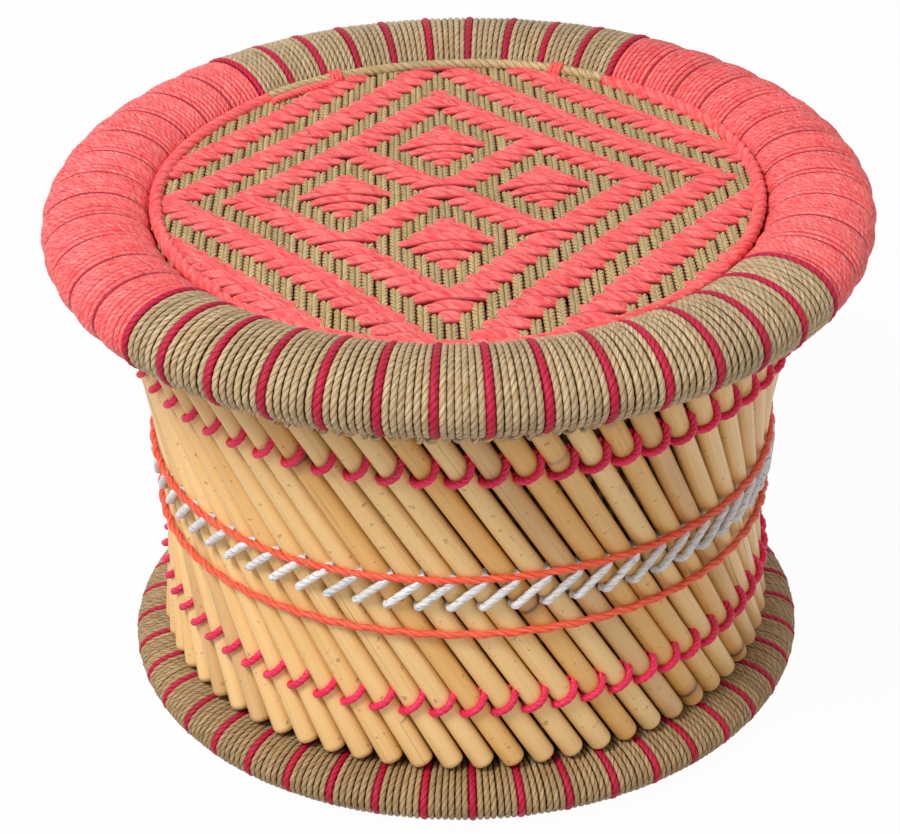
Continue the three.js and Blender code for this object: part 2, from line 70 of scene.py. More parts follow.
def line_through(points, spans):
    """A smooth line through the points, with a number of spans from each to the next."""
    padded = np.concatenate([2 * points[:1] - points[1:2], points, 2 * points[-1:] - points[-2:-1]])
    a, b, c, d = padded[:-3, None], padded[1:-2, None], padded[2:-1, None], padded[3:, None]
    t = (np.arange(spans) / spans)[None, :, None]
    curve = 0.5 * (2 * b + (c - a) * t + (2 * a - 5 * b + 4 * c - d) * t**2 + (3 * b - a - 3 * c + d) * t**3)
    return np.concatenate([curve.reshape(-1, points.shape[1]), points[-1:]])


print("front of the rim:", place(0.225, 0, 0.277).round(3))

# %% [markdown]
# ## The camera
# The photograph looks down on the stool from a little under two metres away, with a long lens,
# and very slightly turned. Yaw, pitch and roll give the camera three directions.

# %% Camera
CAMERA_PLACE = Vector((0, -1.5562, 1.0809))
CAMERA_YAW, CAMERA_PITCH, CAMERA_ROLL = (math.radians(a) for a in (-0.25, -31.03, -1.24))
CAMERA_LENS = 129.19

level = math.cos(CAMERA_PITCH)
ahead = Vector((math.sin(CAMERA_YAW) * level, math.cos(CAMERA_YAW) * level, math.sin(CAMERA_PITCH)))
level_right = ahead.cross(Vector((0, 0, 1))).normalized()
level_up = level_right.cross(ahead)
camera_right = math.cos(CAMERA_ROLL) * level_right + math.sin(CAMERA_ROLL) * level_up
camera_up = math.cos(CAMERA_ROLL) * level_up - math.sin(CAMERA_ROLL) * level_right

camera = bpy.data.objects.new("camera", bpy.data.cameras.new("camera"))
bpy.context.scene.collection.objects.link(camera)
camera.rotation_mode = "QUATERNION"
camera.matrix_world = Matrix.Translation(CAMERA_PLACE) @ Matrix(
    (camera_right, camera_up, -ahead)).transposed().to_4x4()
camera.data.lens = CAMERA_LENS
bpy.context.scene.camera = camera
print("camera looks", [round(c, 3) for c in ahead])

# %% [markdown]
# ## Nodes in short
# A material is a tree of nodes. These helpers add one node at a time and feed its sockets,
# either with a plain value or with another node's output. A wire is such an output that can be
# added, subtracted, multiplied and divided, so that a material reads like a recipe.

# %% Node helpers
class Wire:
    """A node's output. A sum or a product of wires adds the Math node that works it out."""

    def __init__(self, socket):
        self.socket = socket

    def __add__(self, other):
        return maths("ADD", self, other)

    def __sub__(self, other):
        return maths("SUBTRACT", self, other)

    def __rsub__(self, other):
        return maths("SUBTRACT", other, self)

    def __mul__(self, other):
        return maths("MULTIPLY", self, other)

    def __truediv__(self, other):
        return maths("DIVIDE", self, other)


def feed(socket, source):
    if isinstance(source, Wire):
        socket.id_data.links.new(source.socket, socket)
    else:
        socket.default_value = source


def add_node(tree, kind, settings=None, **sources):
    node = tree.nodes.new("ShaderNode" + kind)
    for name, value in (settings or {}).items():
        setattr(node, name, value)
    for name, source in sources.items():
        feed(node.inputs[name.replace("_", " ")], source)
    return node


def tree_of(*sources):
    """The tree that the first wire among the sources belongs to."""
    return next(source.socket.id_data for source in sources if isinstance(source, Wire))


def maths(operation, *sources):
    node = add_node(tree_of(*sources), "Math", {"operation": operation})
    for socket, source in zip(node.inputs, sources):
        feed(socket, source)
    return Wire(node.outputs[0])


def mixed(share, first, second, blend="MIX"):
    node = add_node(tree_of(share, first, second), "Mix", {"data_type": "RGBA", "blend_type": blend})
    for index, source in ((0, share), (6, first), (7, second)):
        feed(node.inputs[index], source)
    return Wire(node.outputs[2])


def joined_vector(x, y, z):
    return Wire(add_node(tree_of(x, y, z), "CombineXYZ", X=x, Y=y, Z=z).outputs[0])


def noise(vector, scale, detail):
    node = add_node(tree_of(vector), "TexNoise", Vector=vector, Scale=scale, Detail=detail)
    return Wire(node.outputs["Fac"])


def spread(value, low, high, to_low=0.0, to_high=1.0):
    """Maps low to to_low and high to to_high, and stays between them outside."""
    node = add_node(tree_of(value), "MapRange", Value=value, From_Min=low, From_Max=high,
                    To_Min=to_low, To_Max=to_high)
    return Wire(node.outputs[0])


def linear(code):
    """A colour written as six hexadecimal digits, in the linear values that nodes take."""
    parts = [int(code[i:i + 2], 16) / 255 for i in (0, 2, 4)]
    return tuple(c / 12.92 if c <= 0.04045 else ((c + 0.055) / 1.055) ** 2.4 for c in parts) + (1.0,)


print("khaki is", [round(c, 3) for c in linear("a58a62")])

# %% [markdown]
# ## Light, floor and background
# The photograph is lit softly from the front and the upper left, in front of pure white.
# A large lamp gives the soft modelling, a second one fills the right, and the world fills the
# rest. The white behind the stool is only for the camera and for reflections, so it throws no
# light on the stool. The floor is nearly white as well, and keeps a faint shadow.

# %% Lamps and white room
WHITE = (1.0, 1.0, 1.0, 1.0)
WARM_WHITE = (1.0, 0.985, 0.96, 1.0)
AMBIENT_STRENGTH = 0.47
LAMPS_AIM_AT = Vector((0, 0, 0.18))

scene = bpy.context.scene
scene.view_settings.view_transform = "Standard"
scene.world = bpy.data.worlds.new("white room")
scene.world.use_nodes = True


def seen_directly(tree):
    path = add_node(tree, "LightPath").outputs
    rays = [Wire(path[name]) for name in ("Is Camera Ray", "Is Glossy Ray", "Is Transmission Ray")]
    return maths("MAXIMUM", rays[0], maths("MAXIMUM", rays[1], rays[2]))


def mixed_shader(share, first, second):
    node = add_node(tree_of(share), "MixShader", Fac=share)
    feed(node.inputs[1], Wire(first.outputs[0]))
    feed(node.inputs[2], Wire(second.outputs[0]))
    return node


def soft_lamp(name, stands, watts, size):
    lamp = bpy.data.objects.new(name, bpy.data.lights.new(name, "AREA"))
    scene.collection.objects.link(lamp)
    lamp.data.energy = watts
    lamp.data.shape = "DISK"
    lamp.data.size = size
    lamp.location = stands
    lamp.rotation_mode = "QUATERNION"
    lamp.rotation_quaternion = (LAMPS_AIM_AT - lamp.location).to_track_quat("-Z", "Y")


room = scene.world.node_tree
room.nodes.clear()
ambient = add_node(room, "Background", Color=WARM_WHITE, Strength=AMBIENT_STRENGTH)
backdrop = add_node(room, "Background", Color=WHITE, Strength=1.0)
seen = mixed_shader(seen_directly(room), ambient, backdrop)
add_node(room, "OutputWorld", Surface=Wire(seen.outputs[0]))

soft_lamp("key lamp", stands=(-1.4, -1.35, 2.7), watts=80, size=1.0)
soft_lamp("fill lamp", stands=(1.5, -1.9, 1.5), watts=6, size=1.6)

# %% [markdown]
# The floor glows only for the camera and for reflections, and only beside the stool: under it
# stays dark. A camera below the floor looks through it, so that the underside can be seen.

# %% Floor
FLOOR_GREY = (0.62, 0.62, 0.62, 1.0)
FLOOR_GLOW = 0.97
GLOW_FROM, GLOW_FULL = 0.165, 0.18
FLOOR_SIZE, FLOOR_HEIGHT = 12, -0.0004

bpy.ops.object.select_all(action="DESELECT")
bpy.ops.mesh.primitive_plane_add(size=FLOOR_SIZE, location=(0, 0, FLOOR_HEIGHT))
floor = bpy.context.object
floor.name = "floor"
floor_paint = bpy.data.materials.new("pale floor")
floor_paint.use_nodes = True
tree = floor_paint.node_tree
tree.nodes.clear()
shade = add_node(tree, "BsdfDiffuse", Color=FLOOR_GREY)
glow = add_node(tree, "Emission", Color=WHITE, Strength=1.0)
parts = add_node(tree, "SeparateXYZ", Vector=Wire(add_node(tree, "TexCoord").outputs["Object"])).outputs
x, y = Wire(parts[0]), Wire(parts[1])
glowing = spread(maths("SQRT", x * x + y * y), GLOW_FROM, GLOW_FULL) * FLOOR_GLOW
from_above = mixed_shader(seen_directly(tree) * glowing, shade, glow)
backfacing = Wire(add_node(tree, "NewGeometry").outputs["Backfacing"])
from_below = backfacing * Wire(add_node(tree, "LightPath").outputs["Is Camera Ray"])
seen = mixed_shader(from_below, from_above, add_node(tree, "BsdfTransparent"))
add_node(tree, "OutputMaterial", Surface=Wire(seen.outputs[0]))
floor.data.materials.append(floor_paint)
print("the floor glows from", GLOW_FROM, "to", GLOW_FULL, "metres from the middle")

# %% [markdown]
# ## What a cord's surface looks like
# All cords here share one finish: fine fibres with painted highlights where they catch the light,
# painted shade in the lines between the strands and on the sides where one turn lies against the
# next, and small dashes of painted shade where the yarn opens. It is a node group with named
# inputs, so that khaki rope, coral, crimson, orange and white cord each set their own values.
# The mesh carries what the group reads: a map with the length along the cord in metres and the
# share of the way round it, a tone for each turn, and a valley value that paints shade on what
# lies deep. Twisting the map by the lay gives the strands their slant.

# %% Cord finish
CORD_VALUES = {"Fibres": 14.0, "Slant": 120.0, "Fleck": 0.06, "Gloss": 0.6, "Strands": 3.0, "Lines": 0.8,
               "Lay": 0.0138, "Beside": 0.0, "Beside_Width": 0.2, "Dashes": 0.0}


def new_group(name, colours, numbers):
    """A finish group: its tree, the wires it is given, and the sockets of what it makes."""
    group = bpy.data.node_groups.new(name, "ShaderNodeTree")
    values = {**dict.fromkeys(colours, WHITE), **numbers}
    for label, value in values.items():
        kind = "NodeSocketColor" if value is WHITE else "NodeSocketFloat"
        label = label.replace("_", " ")
        group.interface.new_socket(name=label, in_out="INPUT", socket_type=kind).default_value = value
    for label, kind in (("Color", "Color"), ("Roughness", "Float"), ("Height", "Float")):
        group.interface.new_socket(name=label, in_out="OUTPUT", socket_type="NodeSocket" + kind)
    given = {socket.name: Wire(socket) for socket in group.nodes.new("NodeGroupInput").outputs}
    return group, given, group.nodes.new("NodeGroupOutput").inputs


def cord_map(tree):
    """The length along a piece in metres, and the share of the way round it."""
    mapped = Wire(add_node(tree, "UVMap", {"uv_map": "cord"}).outputs[0])
    parts = add_node(tree, "SeparateXYZ", Vector=mapped).outputs
    return Wire(parts[0]), Wire(parts[1])


def mesh_value(tree, name):
    return Wire(add_node(tree, "Attribute", {"attribute_name": name}).outputs["Fac"])


cord_finish, given, made = new_group("cord finish", ("Cord", "Valley", "Light"), CORD_VALUES)
along, turned = cord_map(cord_finish)
tone, valley = mesh_value(cord_finish, "tone"), mesh_value(cord_finish, "valley")
on_object = Wire(add_node(cord_finish, "TexCoord").outputs["Object"])
across_fibres = turned * given["Fibres"] - along * given["Slant"]
streak = spread(noise(joined_vector(across_fibres, along * 90.0, tone * 9.0), 1.0, 3.0), 0.32, 0.68)
wear = spread(noise(on_object, 26.0, 3.0), 0.3, 0.7, -1.0, 1.0)
grit = spread(noise(on_object, 1400.0, 1.0), 0.35, 0.65, -1.0, 1.0)
# The light colour is a painted highlight on the fibre streaks.
colour = mixed(streak * 0.55, given["Cord"], given["Light"])
shade = wear * 0.06 + grit * given["Fleck"] + tone * 0.1 + 0.96
colour = mixed(1.0, colour, joined_vector(shade, shade, shade), "MULTIPLY")

# Between two strands the share round the cord, times their number, comes to a whole number
to_border = 0.5 - maths("ABSOLUTE", maths("FRACT", turned * given["Strands"]) - 0.5)
# The lines between the strands are painted shade, and they also deepen the relief.
line = spread(to_border, 0.02, 0.14, 1.0, 0.0) * given["Lines"]

# The sides of a turn, where it meets the next, are found by taking the cord's twist out again
side_on = maths("ABSOLUTE", maths("COSINE", (turned - along / given["Lay"]) * (2 * math.pi)))
# The sides of a turn get painted shade where it lies against the next.
turn_side_shade = spread(side_on, 1.0 - given["Beside Width"], 0.99) * given["Beside"]
# Small dashes of painted shade where the yarn opens.
opening = noise(joined_vector(across_fibres, along * 240.0, tone * 17.0), 1.3, 0.0)
yarn_gap_shade = spread(opening, 0.66, 0.74) * given["Dashes"]
# All the painted shade together: strand lines, sides of turns, the valley value and the dashes.
sunk = maths("MAXIMUM", maths("MAXIMUM", line, turn_side_shade), maths("MAXIMUM", valley, yarn_gap_shade))
feed(made["Color"], mixed(sunk, colour, given["Valley"]))
feed(made["Roughness"], given["Gloss"] + streak * -0.12)
feed(made["Height"], streak + grit * 0.3 - line * 1.6)
print("cord finish:", len(cord_finish.nodes), "nodes")

# %% [markdown]
# The shader itself stays outside the group. Each cord sets a base colour, a dark one for the
# painted shade in its valleys, a light one for the painted highlights on the fibres that catch
# the light, and what differs from the usual rope.

# %% Cord materials
FIBRE_SHINE = 0.28
CORD_RELIEF, CORD_RELIEF_STRENGTH = 0.00018, 0.8


def finish_material(name, group, shine, relief, strength, **values):
    """A material that takes its colour, roughness and relief from a finish group."""
    material = bpy.data.materials.new(name)
    material.use_nodes = True
    tree = material.node_tree
    skin = tree.nodes["Principled BSDF"]
    skin.inputs["Specular IOR Level"].default_value = shine
    finish = add_node(tree, "Group", {"node_tree": group}, **values).outputs
    feed(skin.inputs["Base Color"], Wire(finish["Color"]))
    feed(skin.inputs["Roughness"], Wire(finish["Roughness"]))
    bump = add_node(tree, "Bump", Height=Wire(finish["Height"]), Distance=relief, Strength=strength)
    feed(skin.inputs["Normal"], Wire(bump.outputs[0]))
    return material


def cord_material(name, cord, valley, light, **changed):
    colours = {"Cord": linear(cord), "Valley": linear(valley), "Light": linear(light)}
    return finish_material(name, cord_finish, FIBRE_SHINE, CORD_RELIEF, CORD_RELIEF_STRENGTH,
                           **colours, **{**CORD_VALUES, **changed})


KHAKI = cord_material("khaki rope", "a9875a", "3f2d16", "f2e0bd", Gloss=0.46, Beside=0.95, Lines=0.55,
                      Fleck=0.1)
WARP_KHAKI = cord_material("khaki warp", "b5965f", "4e3a1e", "ead6ac", Gloss=0.56, Lines=0.95)
# The foot's khaki is the rim's khaki rope painted darker: painted shade, because the foot lies in the shade
# of the drum.
SHADED_FOOT_KHAKI = cord_material("shaded foot rope", "997548", "38260f", "dfc79c", Gloss=0.5, Beside=0.95, Lines=0.55,
                           Fleck=0.12)
KHAKI_EDGE = cord_material("khaki edge cord", "b3935f", "503c1e", "ecd9b0", Gloss=0.52, Lines=0.55, Lay=0.015)
CORAL = cord_material("coral cord", "ff3b3f", "9c0a22", "ffbab4", Gloss=0.34, Lines=0.35, Lay=0.011,
                      Beside=0.8, Dashes=0.7, Fleck=0.1)
CORAL_EDGE = cord_material("coral edge cord", "ff4246", "b81a2b", "ffa09c", Gloss=0.42, Lines=0.4)
CRIMSON = cord_material("crimson cord", "b80733", "520218", "d21c4a", Gloss=0.5, Lay=0.0125, Beside=0.6)
PINK = cord_material("crimson lashing", "ea0647", "7c0426", "fa4c7c", Gloss=0.26, Lines=0.3)
ORANGE = cord_material("orange cord", "f4462a", "a3250e", "ff9070", Gloss=0.42, Lines=0.6)
WHITE_CORD = cord_material("white cord", "e0dedd", "8b8b92", "fbfaf9", Gloss=0.4, Lines=0.3, Dashes=0.8)
WEFT = cord_material("coral weft", "ff3f43", "86081a", "ffa39d", Fibres=16.0, Slant=60.0, Gloss=0.36,
                     Lines=0.4, Strands=2.0, Lay=0.030, Beside=0.95, Beside_Width=0.42, Dashes=0.6)
print("materials:", [m.name for m in bpy.data.materials if "cord" in m.name or "khaki" in m.name])

# %% [markdown]
# ## How a cord gets its mesh
# A laid cord is three strands twisted together. Cut across, it is three round lobes with
# valleys between them, and the cut turns as one goes along the cord. The mesh follows that:
# rings of points along the route, each turned a little from the last, so its edges run along the
# strands. Rings go into a store, and a full store becomes one mesh with its map and values.
# Mesh code is used because no operator lays a cord along a winding.

# %% Rings of a laid cord
ROUND_SHOULDER = 0.04


def cord_rings(route, out, half_width, half_height, lay, depth, strands=3, corners=3, closed=False):
    """Rings along a route, and the length along it. The side out of each ring faces along out."""
    ends = (np.roll(route, 1, 0), np.roll(route, -1, 0)) if closed else (route[:-1], route[1:])
    travel = unit(ends[1] - ends[0]) if closed else unit(np.gradient(route, axis=0))
    across = unit(np.cross(travel, out))
    up = np.cross(across, travel)
    steps = np.linalg.norm(np.diff(route, axis=0, append=route[:1] if closed else route[-1:]), axis=1)
    along = np.concatenate([[0], np.cumsum(steps)[:-1]])
    if closed:
        lay = steps.sum() / round(steps.sum() / lay)
    sides = strands * corners
    corner = np.arange(sides) % corners
    shoulder = ROUND_SHOULDER if corners > 3 else 0
    lobe = 1 - depth * (corner == 0) - shoulder * (corner != corners // 2)
    angle = 2 * np.pi * np.arange(sides) / sides - (2 * np.pi * along / lay)[:, None]
    wide = np.broadcast_to(half_width, along.shape)[:, None] * lobe * np.cos(angle)
    high = np.broadcast_to(half_height, along.shape)[:, None] * lobe * np.sin(angle)
    rings = route[:, None] + across[:, None] * wide[..., None] + up[:, None] * high[..., None]
    return rings, along, steps.sum(), travel


trial = cord_rings(place(0.1, np.arange(4), 0.0), np.array((0.0, 0.0, 1.0)), 0.002, 0.002, 0.010, 0.1)
print("a laid cord has rings of", trial[0].shape[1], "points")

# %% Rings kept in a store
STORED = ("points", "quads", "caps", "quad_maps", "cap_maps", "tone", "valley")
END_BULGE = 0.5


def new_store():
    return {"count": 0, **{name: [] for name in STORED}}


def keep_rings(store, made, tone, valley=0.0, closed=False):
    rings, along, total, travel = made
    steps, sides = rings.shape[:2]
    index = store["count"] + np.arange(steps * sides).reshape(steps, sides)
    here, there = (index, np.roll(index, -1, 0)) if closed else (index[:-1], index[1:])
    quads = np.stack([here, there, np.roll(there, -1, 1), np.roll(here, -1, 1)], -1)
    store["quads"].append(quads.reshape(-1, 4))
    start = along[:len(here)]
    end = np.append(along[1:], total)[:len(here)]
    low = np.arange(sides) / sides
    high = low + 1 / sides
    maps = [np.stack(np.broadcast_arrays(u[:, None], v), -1)
            for u, v in ((start, low), (end, low), (end, high), (start, high))]
    store["quad_maps"].append(np.stack(maps, 2).reshape(-1, 2))
    store["points"].append(rings.reshape(-1, 3))
    store["tone"].append(np.broadcast_to(np.reshape(tone, (-1, 1)), (steps, sides)).ravel())
    store["valley"].append(np.broadcast_to(np.reshape(valley, (-1, 1)), (steps, sides)).ravel())
    store["count"] += steps * sides
    if not closed:
        for ring, way, order in ((0, -1, 1), (-1, 1, -1)):
            middle = rings[ring].mean(0)
            bulge = np.linalg.norm(rings[ring] - middle, axis=1).min() * END_BULGE
            store["points"].append((middle + way * bulge * travel[ring])[None])
            corners = [index[ring], np.roll(index[ring], -1)][::order]
            store["caps"].append(np.stack([np.full(sides, store["count"]), *corners], -1))
            store["cap_maps"].append(np.tile([along[ring], 0.5], (3 * sides, 1)))
            store["tone"].append(np.ravel(tone)[[ring]])
            store["valley"].append(np.ravel(np.broadcast_to(valley, steps))[[ring]])
            store["count"] += 1


print("a store keeps", STORED)

# %% [markdown]
# Every finished piece rides on the stool's one body and stands in for the solid that it replaces.

# %% From rings to a finished piece
def finished(piece, material, node):
    piece.data.materials.clear()
    piece.data.materials.append(material)
    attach(piece, "root")
    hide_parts(node)


def piece_from(store, name, material, node):
    quads = np.concatenate(store["quads"])
    caps = np.concatenate(store["caps"] or [np.zeros((0, 3), int)])
    maps = np.concatenate(store["quad_maps"] + store["cap_maps"])
    mesh = bpy.data.meshes.new(name)
    mesh.vertices.add(store["count"])
    mesh.vertices.foreach_set("co", np.concatenate(store["points"]).astype(np.float32).ravel())
    mesh.loops.add(quads.size + caps.size)
    mesh.loops.foreach_set("vertex_index", np.concatenate([quads.ravel(), caps.ravel()]).astype(np.int32))
    mesh.polygons.add(len(quads) + len(caps))
    starts = np.concatenate([np.arange(len(quads)) * 4, quads.size + np.arange(len(caps)) * 3])
    mesh.polygons.foreach_set("loop_start", starts.astype(np.int32))
    mesh.polygons.foreach_set("use_smooth", np.ones(len(starts), bool))
    mesh.uv_layers.new(name="cord").data.foreach_set("uv", maps.astype(np.float32).ravel())
    for value in ("tone", "valley"):
        layer = mesh.attributes.new(value, "FLOAT", "POINT")
        layer.data.foreach_set("value", np.concatenate(store[value]).astype(np.float32))
    mesh.update(calc_edges=True)
    mesh.validate()
    piece = bpy.data.objects.new(name, mesh)
    scene.collection.objects.link(piece)
    finished(piece, material, node)
    print(f"{name}: {2 * len(quads) + len(caps)} triangles")


def cord_piece(name, material, slot, node, route, out, half_width, half_height, tones, valley=0.0,
               closed=False, **laid):
    """A piece that is a single cord."""
    store = new_store()
    rings = cord_rings(route, out, half_width, half_height, closed=closed, **laid)
    keep_rings(store, rings, tones, valley, closed)
    piece_from(store, name, material, node)


# %% [markdown]
# ## Winding rope round a rim
# A rim is a bent bundle of reeds with rope wound over it, turn against turn. Each turn has its
# own slot round the stool, and the rope moves on to the next slot at the underside, where nobody
# sees it. Turns touch all the way round, so each is narrower on the inside of the rim, where
# the slots are closer. A hand-wound rope isn't perfect: each turn strays a little.

# %% Rims and their turns
TOP_RIM = {"radius": 0.195, "height": 0.277, "half_width": 0.030, "half_height": 0.021}
FOOT_RIM = {"radius": 0.170, "height": 0.013, "half_width": 0.021, "half_height": 0.013}
ROPE_HALF_HEIGHT = 0.0021
UNDERSIDE_SHARE = 0.11
UNEVEN = 0.00012
KHAKI_LAID = {"lay": 0.0138, "depth": 0.13}
CRIMSON_LAID = {"lay": 0.0125, "depth": 0.16}


def wind(rim, slots, turn_angle, steps, sunk, underside_sunk, stray, chance):
    """The route of a rope with one turn at each slot, and what its rings need."""
    slots = np.asarray(slots, float) + chance.normal(0, stray * turn_angle, len(slots))
    inset = sunk + chance.normal(0, UNEVEN, len(slots))
    progress = np.arange(len(slots) * steps + 1) / steps
    turn = np.minimum(progress.astype(int), len(slots) - 1)
    change = np.rint(progress).astype(int)
    beside = (progress - change) / UNDERSIDE_SHARE
    moving = (np.abs(beside) < 1) & (change > 0) & (change < len(slots))
    before, after = slots[np.clip(change - 1, 0, None)], slots[np.clip(change, None, len(slots) - 1)]
    angle = np.where(moving, before + (after - before) * eased((beside + 1) / 2), slots[turn])
    under = np.where(np.abs(beside) < 1, np.cos(beside * np.pi / 2) ** 2, 0)
    round_rim = 2 * np.pi * (progress - 0.25)
    depth = np.interp(progress, np.arange(len(slots)) + 0.5, inset) + underside_sunk * under
    radius = rim["radius"] + (rim["half_width"] - depth) * np.cos(round_rim)
    height = rim["height"] + (rim["half_height"] - depth) * np.sin(round_rim)
    outward = unit(np.stack([rim["half_height"] * np.cos(round_rim),
                             rim["half_width"] * np.sin(round_rim)], axis=-1))
    out = place(outward[:, 0], angle, outward[:, 1])
    half_width = radius * np.radians(turn_angle) / 2
    return place(radius, angle, height), out, half_width, turn


def wound_piece(name, material, slot, node, rim, slots, turn_angle, seed, steps=96, sunk=ROPE_HALF_HEIGHT,
                underside_sunk=0.0, stray=0.03, width_share=1.0, valleys=0.0, **laid):
    chance = np.random.default_rng(seed)
    route, out, half_width, turn = wind(rim, slots, turn_angle, steps, sunk, underside_sunk, stray, chance)
    tones = chance.uniform(-1, 1, len(slots))[turn]
    valley = np.broadcast_to(valleys, len(slots))[turn]
    half_width = half_width * np.broadcast_to(width_share, len(slots))[turn]
    cord_piece(name, material, slot, node, route, out, half_width, ROPE_HALF_HEIGHT, tones, valley, **laid)


print("rims", [2 * rim["half_width"] for rim in (TOP_RIM, FOOT_RIM)], "metres wide")

# %% [markdown]
# The rim is khaki at the front and the back and coral at its sides. In the khaki parts a
# crimson cord passes over between groups of five to seven turns. These angles are where it does.

# %% Where the crimson turns lie
FRONT_ACCENTS = np.array([-49, -42, -34, -26, -18.3, -10.7, -3.5, 3.6, 11, 19.4, 27.1, 34.9, 43, 50.7, 58.8])
BACK_ACCENTS = np.linspace(148.6, 220.9, 11)
KHAKI_TURN = 1.06
ACCENT_TURN = 1.22


def slots_between(borders, turn_angle, gap):
    """Slots that fill the panels between crimson turns."""
    slots = []
    for start, end in zip(borders[:-1], borders[1:]):
        room = end - start - gap
        count = round(room / turn_angle)
        slots += [start + gap / 2 + room * (k + 0.5) / count for k in range(count)]
    return np.array(slots)


front_slots = slots_between(FRONT_ACCENTS, KHAKI_TURN, ACCENT_TURN)
back_slots = slots_between(BACK_ACCENTS, KHAKI_TURN, ACCENT_TURN)
print("khaki turns:", len(front_slots), "at the front,", len(back_slots), "at the back")

# %% Khaki windings and crimson turns of the top rim
RECESS = 0.0032
for half, slots, seed in (("front", front_slots, 11), ("back", back_slots, 12)):
    wound_piece(f"khaki_winding_{half}", KHAKI, "khaki_rope", f"top_winding_{half}", TOP_RIM, slots,
                KHAKI_TURN, seed, underside_sunk=RECESS, **KHAKI_LAID)
for half, slots, seed in (("front", FRONT_ACCENTS, 13), ("back", BACK_ACCENTS, 14)):
    wound_piece(f"crimson_turns_{half}", CRIMSON, "crimson_cord", f"top_accent_{half}", TOP_RIM, slots,
                ACCENT_TURN, seed, sunk=0.0016, stray=0.0, width_share=1.1, **CRIMSON_LAID)

# %% [markdown]
# Where the seat was tied to the rim at the front, the khaki rope's loops stand out below the
# rim as small knobs. A rope coiled loosely along the rim's lower edge makes them.

# %% Khaki loops below the rim
LOOPS_FROM, LOOPS_TO = -27.0, 21.0
LOOP_PITCH = 1.9
LOOP_RADIUS, LOOP_HEIGHT = 0.2055, 0.2572
LOOP_CORD = 0.0036
loop_angle = np.arange(LOOPS_FROM, LOOPS_TO, 0.1)
coiling = 2 * np.pi * loop_angle / LOOP_PITCH
loop_size = 0.0017 + 0.0005 * np.sin(loop_angle * 0.9)
route = place(LOOP_RADIUS + loop_size * np.cos(coiling), loop_angle + 0.35 * np.sin(coiling * 0.5),
              LOOP_HEIGHT + 1.3 * loop_size * np.sin(coiling))
cord_piece("khaki_loops_front", KHAKI, "khaki_rope", "top_winding_front", route, place(1.0, loop_angle, 0.3),
           LOOP_CORD / 2, LOOP_CORD / 2, np.sin(loop_angle * 0.7), lay=0.0138, depth=0.14)

# %% [markdown]
# ## The coral sides
# At the sides the rim is wound with finer coral cord, in bands that stand a little proud in
# their middle and are drawn in where one band meets the next. It is the same winding, with
# a depth for each turn that follows the band's crown.

# %% Coral windings
CORAL_BANDS = 12
BAND_TURNS = 7
CROWN = 0.0012
GROOVE = 0.0016
GROOVE_WIDTH = 0.45
END_GAP = 0.6


def coral_side(side, start, end, seed):
    """Bands of fine turns, each followed by one thin dark turn that lies deep in the groove."""
    count = CORAL_BANDS * (BAND_TURNS + 1) - 1
    place_in_band = np.arange(count) % (BAND_TURNS + 1)
    grooved = place_in_band == BAND_TURNS
    aside = np.abs(place_in_band - (BAND_TURNS - 1) / 2) / (BAND_TURNS / 2)
    widths = np.where(grooved, GROOVE_WIDTH, 1.0)
    turn_angle = (end - start - 2 * END_GAP) / widths.sum()
    slots = start + END_GAP + turn_angle * (np.cumsum(widths) - widths / 2)
    sunk = ROPE_HALF_HEIGHT + np.where(grooved, GROOVE, CROWN * np.minimum(aside, 1) ** 2)
    # The thin turn in each groove is painted dark through its valley value: painted shade deep in the groove.
    wound_piece(f"coral_winding_{side}", CORAL, "coral_cord", f"top_winding_{side}", TOP_RIM, slots,
                turn_angle, seed, steps=80, sunk=sunk, stray=0.02, width_share=np.where(grooved, 0.9, 1.04),
                valleys=np.where(grooved, 0.95, 0.0), lay=0.011, depth=0.06)


coral_side("right", FRONT_ACCENTS[-1], BACK_ACCENTS[0], 21)
coral_side("left", BACK_ACCENTS[-1], FRONT_ACCENTS[0] + 360, 22)

# %% [markdown]
# ## The foot
# The foot is a smaller ring, wound all the way round with khaki rope and one crimson turn in
# each panel of eight degrees. It is made in a front and a back half.

# %% Foot windings
FOOT_PANELS = 45
FOOT_FIRST = 0.5
FOOT_TURN, FOOT_ACCENT_TURN = 1.12, 1.3
foot_borders = FOOT_FIRST + 360 / FOOT_PANELS * np.arange(-11, FOOT_PANELS - 10)
for half, first, last in (("front", 0, 23), ("back", 23, FOOT_PANELS)):
    node = f"foot_winding_{half}"
    borders = foot_borders[first:last + 1]
    slots = slots_between(borders, FOOT_TURN, FOOT_ACCENT_TURN)
    wound_piece(f"foot_khaki_{half}", SHADED_FOOT_KHAKI, "khaki_rope", node, FOOT_RIM, slots, FOOT_TURN, 31 + first,
                steps=64, **KHAKI_LAID)
    wound_piece(f"foot_crimson_{half}", CRIMSON, "crimson_cord", node, FOOT_RIM, borders[:-1],
                FOOT_ACCENT_TURN, 32 + first, steps=64, sunk=0.0018, stray=0.0, width_share=1.05,
                **CRIMSON_LAID)

# %% [markdown]
# ## The canes
# Sixty-four canes lean one way in the outer layer and as many lean the other way inside it.
# Each is straight, with a rounded tip on the foot and its head in a hoop under the top rim.
# A cane is modelled once as a cylinder that is cut into lengths and bevelled at its tip, then
# copied to each place with its own thickness, bow and tone.

# %% Where the canes stand
CANES = 64
GROUP_CANES = 4
CANE_RADIUS = 0.006415
UPPER_HEIGHT, UPPER_CANE_RADIUS = 0.2185, 0.1765
LOWER_HEIGHT, LOWER_CANE_RADIUS = 0.066, 0.1636
CANE_TWIST = 29.84
PITCH = 360 / CANES
OUTER = {"inset": 0.0, "lean": 1, "first": -0.415, "tip": 0.0283, "head": 0.2525, "hoop_top": 0.2557}
INNER = {"inset": 0.0141, "lean": -1, "first": 0.0, "tip": 0.0274, "head": 0.2578, "hoop_top": 0.2610}


